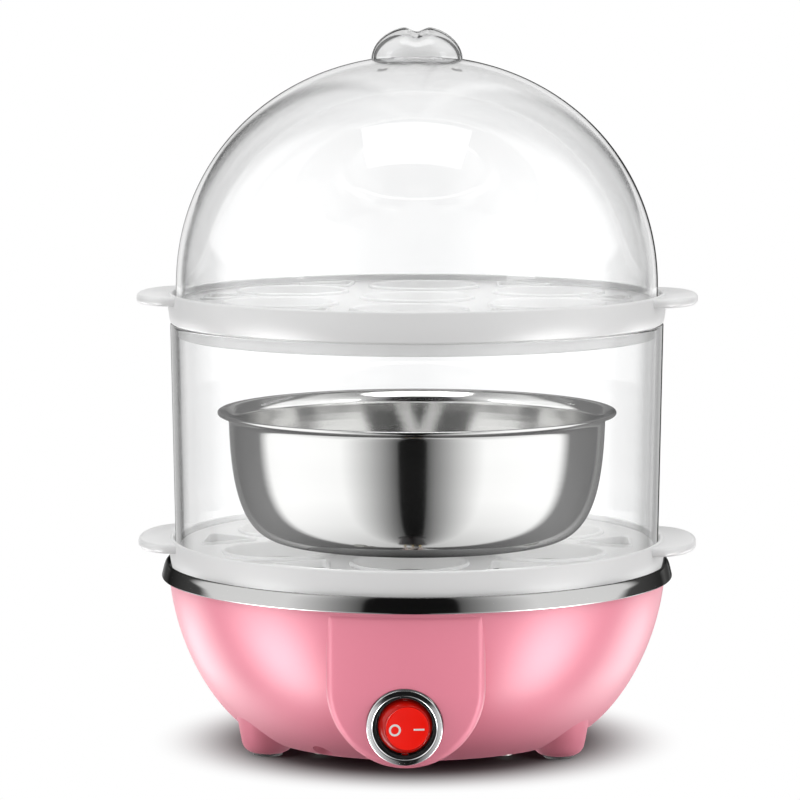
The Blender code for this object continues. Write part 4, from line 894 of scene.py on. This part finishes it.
def make_housing(finish):
    """The dark well of the switch with its flange, the holes of the axle and the lamp's bore."""
    line = [(0, WELL_FLOOR, 0), (WELL_R, WELL_FLOOR, 0.8), (WELL_R, FLANGE_TOP, 0.1), (11.2, FLANGE_TOP, 0.1)]
    line += [(11.2, FLANGE_LOW, 0), (HOUSING_R, FLANGE_LOW, 0)]
    line += [(HOUSING_R, HOUSING_BACK, 0.5), (0, HOUSING_BACK, 0)]
    housing = at(faced_front(lathe(filleted(line), RING)), z=SWITCH_Z)
    axle = at(rod(1.3, -12.9, 12.9), 0.0, -ROCKER_OUT, SWITCH_Z)
    lamp = at(faced_front(rod(1.9, 64.1, 71.1)), z=SWITCH_Z)
    housing = combined(housing, "DIFFERENCE", axle, lamp)
    make("housing", housing, finish, "base", ["switch_housing"])


def make_bezel(finish):
    """The plated ring round the rocker."""
    line = [(BEZEL_BORE_R, 82.7, 0.2), (10.3, BEZEL_FRONT, 0.25), (11.9, 82.77, 0.25)]
    line += [(BEZEL_R, FLANGE_LOW, 0.1), (BEZEL_LIP_R, FLANGE_LOW, 0), (BEZEL_LIP_R, BEZEL_BACK, 0), (BEZEL_BORE_R, BEZEL_BACK, 0.1)]
    bezel = at(faced_front(lathe(filleted(line, 8), RING)), z=SWITCH_Z)
    make("bezel", bezel, finish, "base", ["switch_bezel"], sharp=SHARP_ON_BEZEL)


def make_button():
    """The tilting button with its axle, and the bright disc on its face, both with a painted red glow."""
    reaches = [ROCKER_FACE_R * k / 12 for k in range(12)]
    face = [(reach, dished(reach) - 0.25) for reach in reaches]
    start = math.asin(ROCKER_EDGE / ROCKER_R)
    side = arc((0.0, 0.0), ROCKER_R, start - 0.05, -math.asin(ROCKER_BACK / ROCKER_R), 20)
    edge = filleted([(*face[-1], 0), (ROCKER_FACE_R, ROCKER_EDGE, 0.35), (*side[0], 0)])[1:-1]
    button = lathe(face + edge + side + [(0.0, -ROCKER_BACK)], RING)
    button = combined(faced_front(button), "UNION", rod(1.0, -9.7, 9.7))
    place_on_rocker(button)
    dark = red_plastic("dark_red_plastic", (0.46, 0.004, 0.001), (0.5, 0.005, 0.002), 0.04)
    make("button", button, dark, "rocker", ["switch_rocker"])
    reaches = [DISC_R * k / 10 for k in range(10)]
    top = [(reach, dished(reach) + DISC_STEP) for reach in reaches]
    rim = filleted([(6.6, 4.95, 0), (DISC_R, 4.95, 0.14), (DISC_R, 4.2, 0)])[1:]
    disc = lathe(top + rim + [(0.0, 4.2)], RING)
    place_on_rocker(faced_front(disc))
    lens = red_plastic("red_lens", (0.82, 0.006, 0.001), (0.88, 0.008, 0.002), 0.12)
    make("button_disc", disc, lens, "rocker")


def make_marks(finish):
    """The ring and the dash on the disc."""
    ring = lathe([(1.25, -MARK_HALF), (1.25, MARK_HALF), (1.9, MARK_HALF), (1.9, -MARK_HALF)], SMALL)
    dash = filleted([(-1.7, -0.28, 0.12), (1.7, -0.28, 0.12), (1.7, 0.28, 0.12), (-1.7, 0.28, 0.12)])
    dash = prism(dash, -MARK_HALF, MARK_HALF)
    marks = together([laid_on_disc(ring, -3.9), laid_on_disc(dash, 3.7)])
    place_on_rocker(marks)
    make("button_marks", marks, finish, "rocker")


def dished(radius):
    """How far the button's face stands out at this distance from its middle."""
    return 4.5 + 0.008 * radius**2


def laid_on_disc(bm, x):
    """Moves a flat mark to its place on the button's dished disc."""
    for vert in bm.verts:
        vert.co.x += x
        vert.co.y -= MARK_DROP
        vert.co.z += dished(math.hypot(vert.co.x, vert.co.y)) + DISC_STEP
    return faced_front(bm)


def place_on_rocker(bm):
    turned(bm, ROCKER_REST, "Z")
    at(bm, 0.0, -ROCKER_OUT, SWITCH_Z)


def make_grommet(finish):
    face = INLET_FACE + 0.3
    line = [(3.3, face + 1.5, 0.4), (6.9, face + 1.5, 0.6), (6.9, face, 0.1), (4.9, face, 0.1)]
    line += [(4.9, face - 7.0, 0.4), (3.3, face - 7.0, 0.3)]
    grommet = at(faced_back(lathe(filleted(line), RING)), z=INLET_Z)
    make("grommet", grommet, finish, "base", ["cord_grommet"])


# Trays


def ear(side, floor, roof, edge):
    """A wide rounded tab that grows out of the tray's wall, with rounded edges."""
    steps = 40
    loops = []
    layers = [(edge * (1 - math.sin(t)), floor + edge * (1 - math.cos(t))) for t in quarter_turns()]
    layers += [(inset, floor + roof - z) for inset, z in reversed(layers)]
    for inset, z in layers:
        half = math.asin((EAR_HALF - inset) / TRAY_R)
        outer = []
        for k in range(steps + 1):
            share = 2 * k / steps - 1
            reach = max(1 - abs(share) ** 3.0, 0.0) ** 0.5
            radius = EAR_ROOT_R + (EAR_REACH - inset) * reach
            outer.append((radius * math.cos(half * share) * side, radius * math.sin(half * share) * side, z))
        root = arc((0, 0), EAR_ROOT_R - 0.3, half, -half, steps // 2)[1:-1]
        loops.append(outer + [(x * side, y * side, z) for x, y in root])
    return skinned(loops)


def quarter_turns(steps=5):
    return [math.pi / 2 * k / steps for k in range(steps + 1)]


def vent_outline(turn):
    """A rounded triangle that points to the middle."""
    points = []
    corner = 1.8
    bend = math.radians(60)
    half = math.radians(6.5)
    for radius, swing, facing in ((68.7, -half, -bend), (68.7, half, bend), (56.3, 0.0, math.pi)):
        centre = (radius * math.cos(turn + swing), radius * math.sin(turn + swing))
        points += arc(centre, corner, turn + facing - bend, turn + facing + bend, 10)
    return points


def raised_edge(outline, width, floor, roof):
    """A rounded lip that runs round an opening."""
    corner = width * 0.45
    section = filleted([(0, floor, 0), (0, roof, corner), (width, roof, corner), (width, floor, 0)], 4)
    loops = [[(x, y, z) for x, y in grown(outline, reach)] for reach, z in section]
    return skinned(loops, joined=True)


def make_tray_piece(name, node_name, body, finish):
    """A tray with its rolled wall, seven dished seats with rounded rims, six lipped vents and two ears."""
    rim = high(node_name).z
    profile = filleted(TRAY_LINE)
    tray = combined(lathe(profile), "UNION", together([ear(side, -3.3, -0.3, 1.2) for side in (-1, 1)]))
    seats = [(0.0, 0.0)] + around(6, SEAT_PITCH, math.pi / 6)
    vents = [vent_outline(math.tau * k / VENT_COUNT) for k in range(VENT_COUNT)]
    cuts = [at(rod(SEAT_CUT_R, -6.0, 1.0, RING), x, y) for x, y in seats]
    cuts += [prism(grown(vent, 0.45), -6.0, 1.0) for vent in vents]
    tray = combined(tray, "DIFFERENCE", together(cuts))
    ring = [(SEAT_RIM_R, -1.4, 0.62), (SEAT_RIM_R, -3.2, 0), (17.0, -6.4, 0.4), (SEAT_HOLE_R, -6.4, 0.4)]
    ring += [(SEAT_MOUTH_R, -1.4, 0.62)]
    lips = [at(lathe(filleted(ring, 6), RING), x, y) for x, y in seats]
    tray = combined(tray, "UNION", together(lips))
    tray = combined(tray, "UNION", together([raised_edge(vent, 1.0, -4.0, -1.5) for vent in vents]))
    at(tray, z=rim)
    make(name, tray, finish, body, [node_name], profile=[(r, z + rim) for r, z in profile])


# Clear pieces and the bowl


def make_collar_piece(finish):
    floor = low("collar").z
    roof = high("collar").z
    profile = filleted([(81.3, roof, 0.45), (80.0, floor, 0.45), (78.6, floor, 0.45), (79.9, roof, 0.45)])
    make("collar_wall", lathe(profile, ROUND), finish, "collar", ["collar"])


def dome_line(inset, spring, steps=112):
    points = []
    for k in range(steps + 1):
        turn = math.pi / 2 * k / steps
        radius = (DOME_R - inset) * math.sin(turn) ** (2 / DOME_FULLNESS)
        rise = (DOME_RISE - inset) * math.cos(turn) ** (2 / DOME_FULLNESS) if k < steps else 0.0
        points.append((radius, spring + rise))
    return points


def knob_solid(half_width, half_depth, height, groove, floor, root):
    """Half an oval ball on a short stem, with a soft groove across its top."""
    loops = []
    turns = [math.tau * j / RING for j in range(RING)]
    rings = 40
    for k in range(rings):
        lift = math.pi / 2 * k / rings
        wide, deep = half_width * math.cos(lift), half_depth * math.cos(lift)
        z = floor + height * math.sin(lift)
        loop = []
        for turn in turns:
            x = wide * math.cos(turn)
            loop.append((x, deep * math.sin(turn), z - groove * math.sin(lift) * math.exp(-((x / 2.9) ** 2))))
        loops.append(loop)
    loops.insert(0, [(x, y, root) for x, y, _ in loops[0]])
    bm = skinned(loops, fill=False)
    bmesh.ops.holes_fill(bm, edges=[e for e in bm.edges if e.is_boundary])
    return cleaned(bm)


def make_dome_piece(finish):
    """The dome with its rounded foot, its hollow knob and two steam holes behind the knob."""
    foot_z = low("dome_lid").z
    spring = foot_z + DOME_SKIRT
    outer = dome_line(0.0, spring)
    inner = dome_line(DOME_WALL, spring)
    foot_edge = [(*outer[-1], 0), (DOME_R, foot_z, 0.5), (DOME_R - DOME_WALL, foot_z, 0.5), (*inner[-1], 0)]
    profile = outer + filleted(foot_edge)[1:-1] + list(reversed(inner))
    apex = spring + DOME_RISE
    floor = apex - DOME_WALL
    dome = combined(lathe(profile), "UNION", knob_solid(*KNOB, floor, floor - DOME_WALL / 2))
    hollow = knob_solid(*KNOB_HOLLOW, floor, floor - 2 * DOME_WALL)
    turns = [math.pi / 2 + sign * STEAM_HOLE_SWING for sign in (-1, 1)]
    spots = [(STEAM_HOLE_PITCH * math.cos(turn), STEAM_HOLE_PITCH * math.sin(turn)) for turn in turns]
    holes = [at(rod(STEAM_HOLE_R, apex - 11.3, apex + 3.0), x, y) for x, y in spots]
    dome = combined(dome, "DIFFERENCE", hollow, together(holes))
    make("dome", dome, finish, "lid", ["dome_lid"], profile=profile)


def make_bowl_piece(finish):
    """The bowl's softly curved wall, its flared rim and the rolled edge."""
    floor = low("steel_bowl").z
    top = high("steel_bowl").z
    neck = top - 2.8
    wall = bezier((BOWL_NECK_R, neck), (61.8, neck - 18.0), (59.8, floor), (BOWL_FOOT_R, floor), 24)
    wall.append((0.0, floor))
    inside = offset(wall, BOWL_SHEET)
    inside[-1] = (0.0, floor + BOWL_SHEET)
    line = [(*p, 0) for p in reversed(inside[1:])]
    line += [(*inside[0], 1.6), (64.0, top - 0.25, 0.8)]
    line += [(*p, 0) for p in arc((65.35, top - BOWL_ROLL_R), BOWL_ROLL_R, math.pi * 0.6, -math.pi * 0.7, 12)]
    line += [(64.0, top - 1.3, 0.4), (BOWL_NECK_R, neck, 1.2)]
    line += [(*p, 0) for p in wall[1:]]
    make("bowl_wall", lathe(filleted(line)), finish, "bowl", ["steel_bowl"])


# Stage, in metres, apart from the floor's painted shadow, which is (millimetres from the middle, level) stops
FLOOR_R = 6.0
FLOOR_WHITENS = (0.052, 0.09)
FLOOR_PAINTED_SHADOW = ((40, 0.12), (70, 0.3), (105, 0.7))
CLEAR_GAIN = 0.15

# Light: stops over the azimuth, which is 0 in front and 180 behind on either side, or over the elevation
STUDIO_LEVEL = 1.3
STUDIO_ROUND = (
    (-30, 0.008),
    (8, 0.008),
    (9.5, 0.12),
    (22, 0.4),
    (45, 1.0),
    (100, 1.0),
    (110, 0.09),
    (146, 0.08),
    (152, 0.7),
    (166, 0.7),
    (169, 0.02),
    (181, 0.02),
)
STUDIO_HEIGHT = ((-90, 0.5), (-60, 0.7), (-25, 1.0), (40, 1.0), (75, 0.3), (90, 0.3))
OVERHEAD = ((-90, 0.0), (55, 0.0), (90, 0.4))
SPOT_ROUND = ((0, 0), (46, 0), (67, 1), (78, 1), (100, 0), (180, 0))
SPOT_HEIGHT = ((-90, 0), (-66, 0), (-42, 1), (-30, 1), (-8, 0), (90, 0))
SPOT_LEVEL = 14.0
RIM_ROUND = ((0, 0), (110, 0), (124, 1), (142, 1), (155, 0), (180, 0))
RIM_HEIGHT = ((-90, 0), (-62, 0), (-44, 1), (-18, 1), (-10, 0), (90, 0))
RIM_LEVEL = 4.0
MATT_ROUND = ((0, 0.15), (25, 0.15), (75, 0.8), (95, 1.3), (130, 2.0), (180, 2.0))
MATT_HEIGHT = ((-90, 0.0), (20, 0.0), (55, 1.25), (90, 1.25))
MATT_MOST = 1.0
INSIDE_GAIN = 1.6
INSIDE_LEAST = 1.3
LAMP_AIM = (0.0, 0.0, 0.1)
LAMPS = (
    ("lamp_left", -58, 22, 1.3, (0.34, 0.7), 3.5),
    ("lamp_right", 52, 22, 1.3, (0.34, 0.7), 3.5),
    ("lamp_top", 0, 80, 1.1, (0.7, 0.5), 3.0),
)


def after(tree, bounce):
    """1 on a light path that has had a bounce of this kind, and 0 on any other."""
    path = node(tree, "ShaderNodeLightPath")
    return math_node(tree, "GREATER_THAN", path.outputs[f"{bounce} Depth"], 0.5)


def white_level(tree):
    """Plain white, and through clear plastic as much more as its surfaces take away."""
    return math_node(tree, "ADD", product(tree, after(tree, "Transmission"), CLEAR_GAIN), 1.0)


def mixed_shader(tree, share, first, second):
    made = node(tree, "ShaderNodeMixShader")
    for socket, source in zip(made.inputs, (share, first, second)):
        link(tree, source, socket)
    return made.outputs[0]


def mixed_value(tree, share, first, second):
    made = node(tree, "ShaderNodeMix")
    for socket, source in zip((made.inputs[0], made.inputs[2], made.inputs[3]), (share, first, second)):
        link(tree, source, socket)
    return made.outputs[0]


def make_floor():
    """A pale floor with a painted shadow that makes it darker under the object; it turns plain white away from
    it and keeps the object's cast shadow.
    """
    bm = bmesh.new()
    bmesh.ops.create_circle(bm, cap_ends=True, segments=RING, radius=FLOOR_R)
    mesh = bpy.data.meshes.new("floor")
    bm.to_mesh(mesh)
    bm.free()
    floor = bpy.data.objects.new("floor", mesh)
    bpy.context.scene.collection.objects.link(floor)
    made = bpy.data.materials.new("pale_floor")
    made.use_nodes = True
    tree = made.node_tree
    tree.nodes.clear()
    reach = node(tree, "ShaderNodeVectorMath", operation="LENGTH")
    link(tree, node(tree, "ShaderNodeTexCoord").outputs["Object"], reach.inputs[0])
    distance = reach.outputs["Value"]
    matt = node(tree, "ShaderNodeBsdfDiffuse")
    # Painted shadow: the floor's own colour darkens towards the middle, under the object.
    link(tree, ramped(tree, product(tree, distance, 1000.0), FLOOR_PAINTED_SHADOW), matt.inputs["Color"])
    white = node(tree, "ShaderNodeEmission")
    link(tree, white_level(tree), white.inputs["Strength"])
    path = node(tree, "ShaderNodeLightPath")
    seen = math_node(tree, "MAXIMUM", path.outputs["Is Camera Ray"], path.outputs["Is Transmission Ray"])
    share = product(tree, seen, mapped(tree, distance, FLOOR_WHITENS, (0.0, 1.0), "SMOOTHSTEP"))
    pale = mixed_shader(tree, share, matt.outputs[0], white.outputs[0])
    # Light that metal has reflected goes through, so that metal behind clear plastic shows the studio too.
    passing = product(tree, after(tree, "Glossy"), math_node(tree, "SUBTRACT", 1.0, after(tree, "Diffuse")))
    gone = node(tree, "ShaderNodeBsdfTransparent")
    out = node(tree, "ShaderNodeOutputMaterial")
    link(tree, mixed_shader(tree, passing, pale, gone.outputs[0]), out.inputs["Surface"])
    mesh.materials.append(made)
    floor.visible_glossy = False


def make_world():
    """White for the eye and through clear plastic, a bright and dark studio for gloss, soft light for matt."""
    world = bpy.data.worlds.new("studio")
    world.use_nodes = True
    world.cycles.sampling_method = "NONE"
    tree = world.node_tree
    background = tree.nodes["Background"]
    background.inputs["Color"].default_value = (1.0, 1.0, 1.0, 1.0)
    parts = node(tree, "ShaderNodeSeparateXYZ")
    link(tree, node(tree, "ShaderNodeTexCoord").outputs["Generated"], parts.inputs[0])
    x, y, z = parts.outputs
    sideways = math_node(tree, "ARCTAN2", math_node(tree, "ABSOLUTE", x), product(tree, y, -1.0))
    azimuth = product(tree, sideways, 180 / math.pi)
    elevation = product(tree, math_node(tree, "ARCSINE", z), 180 / math.pi)
    through = after(tree, "Transmission")

    # The dark strip in front is wider above eye level.
    wider = mapped(tree, elevation, (4.0, 9.0), (0.0, 13.0), "SMOOTHSTEP")
    studio = ramped(tree, math_node(tree, "SUBTRACT", azimuth, wider), STUDIO_ROUND)
    studio = product(tree, studio, STUDIO_LEVEL, ramped(tree, elevation, STUDIO_HEIGHT))
    studio = math_node(tree, "MAXIMUM", studio, ramped(tree, elevation, OVERHEAD))
    spots = product(tree, ramped(tree, azimuth, SPOT_ROUND), ramped(tree, elevation, SPOT_HEIGHT), SPOT_LEVEL)
    rims = product(tree, ramped(tree, azimuth, RIM_ROUND), ramped(tree, elevation, RIM_HEIGHT), RIM_LEVEL)
    glow = product(tree, math_node(tree, "ADD", spots, rims), math_node(tree, "SUBTRACT", 1.0, through))
    glossy = math_node(tree, "ADD", studio, glow)

    soft = math_node(tree, "MAXIMUM", ramped(tree, azimuth, MATT_ROUND), ramped(tree, elevation, MATT_HEIGHT))
    inside = math_node(tree, "MAXIMUM", product(tree, soft, INSIDE_GAIN), INSIDE_LEAST)
    outside = math_node(tree, "MINIMUM", soft, MATT_MOST)
    matt = math_node(tree, "MAXIMUM", outside, product(tree, inside, through))

    level = mixed_value(tree, after(tree, "Glossy"), white_level(tree), glossy)
    level = mixed_value(tree, after(tree, "Diffuse"), level, matt)
    link(tree, level, background.inputs["Strength"])
    bpy.context.scene.world = world


def make_lamp(name, azimuth, elevation, distance, size, radiance):
    """A soft rectangular lamp that looks at the middle of the object. Only the world shows in gloss."""
    data = bpy.data.lights.new(name, "AREA")
    data.shape = "RECTANGLE"
    data.size, data.size_y = size
    data.energy = radiance * math.pi * size[0] * size[1]
    lamp = bpy.data.objects.new(name, data)
    turn, lift = math.radians(azimuth), math.radians(elevation)
    out = Vector((math.sin(turn) * math.cos(lift), -math.cos(turn) * math.cos(lift), math.sin(lift)))
    lamp.location = Vector(LAMP_AIM) + out * distance
    lamp.rotation_euler = out.to_track_quat("Z", "Y").to_euler()
    lamp.visible_camera = False
    lamp.visible_glossy = False
    bpy.context.scene.collection.objects.link(lamp)


def make_light():
    make_world()
    for lamp in LAMPS:
        make_lamp(*lamp)
    scene = bpy.context.scene
    scene.view_settings.view_transform = "Standard"
    scene.cycles.max_bounces = 20
    scene.cycles.glossy_bounces = 10
    scene.cycles.transmission_bounces = 20


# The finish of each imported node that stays, by its name without a number
SLOT_OF_NODE = {
    "pan_bush": "zinc",
    "pan_screw": "zinc",
    "heater_plate": "plate",
    "heater_tube": "zinc",
    "heater_pin_left": "zinc",
    "heater_pin_right": "zinc",
    "clamp_bar": "zinc",
    "clamp_nut": "zinc",
    "thermostat": "ceramic",
    "thermostat_blade_in": "brass",
    "thermostat_blade_out": "brass",
    "thermal_fuse": "plate",
    "fuse_sleeve": "sleeve",
    "switch_lamp": "lamp",
    "switch_blade": "brass",
    "crimp_cap_live": "cap",
    "crimp_cap_neutral": "cap",
    "wire_switch_to_thermostat": "sheath",
    "wire_thermostat_to_heater": "sheath",
    "wire_heater_to_fuse": "sheath",
    "wire_fuse_to_cap": "sheath",
    "wire_cap_to_switch": "sheath",
    "wire_cap_to_lamp": "sheath",
}


def dress_nodes(finishes):
    """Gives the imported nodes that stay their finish."""
    for name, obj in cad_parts.items():
        slot = SLOT_OF_NODE.get(name.rstrip("_0123456789"))
        if slot:
            for place in obj.material_slots:
                place.material = finishes[slot]
            if not obj.material_slots:
                obj.data.materials.append(finishes[slot])


def build():
    make_camera()
    make_floor()
    make_light()
    pink = pink_plastic()
    white = white_plastic()
    finishes = plain_materials()
    dress_nodes(finishes)
    make_base(pink, finishes)
    make_pan_piece(steel("rolled_steel", (0.5, 0.5, 0.495), (0.06, 0.1), 2500.0, 0.03))
    make_seal(finishes["silicone"])
    make_switch(finishes)
    make_grommet(finishes["rubber"])
    make_tray_piece("tray_below", "lower_tray", "lower_tray", white)
    make_tray_piece("tray_above", "upper_tray", "upper_tray", white)
    make_collar_piece(clear_plastic("clear_collar", 14.0))
    make_bowl_piece(steel("spun_steel", (0.8, 0.8, 0.79), (0.07, 0.11), 3000.0, 0.02))
    # Painted shade on the dome's knob: darkest at its base, lighter towards its top.
    knob_shade = [(140, 1.0), (226, 1.0), (227.5, 0.8), (236, 0.97), (240, 0.97)]
    make_dome_piece(clear_plastic("clear_dome", 20.0, knob_shade))


build()
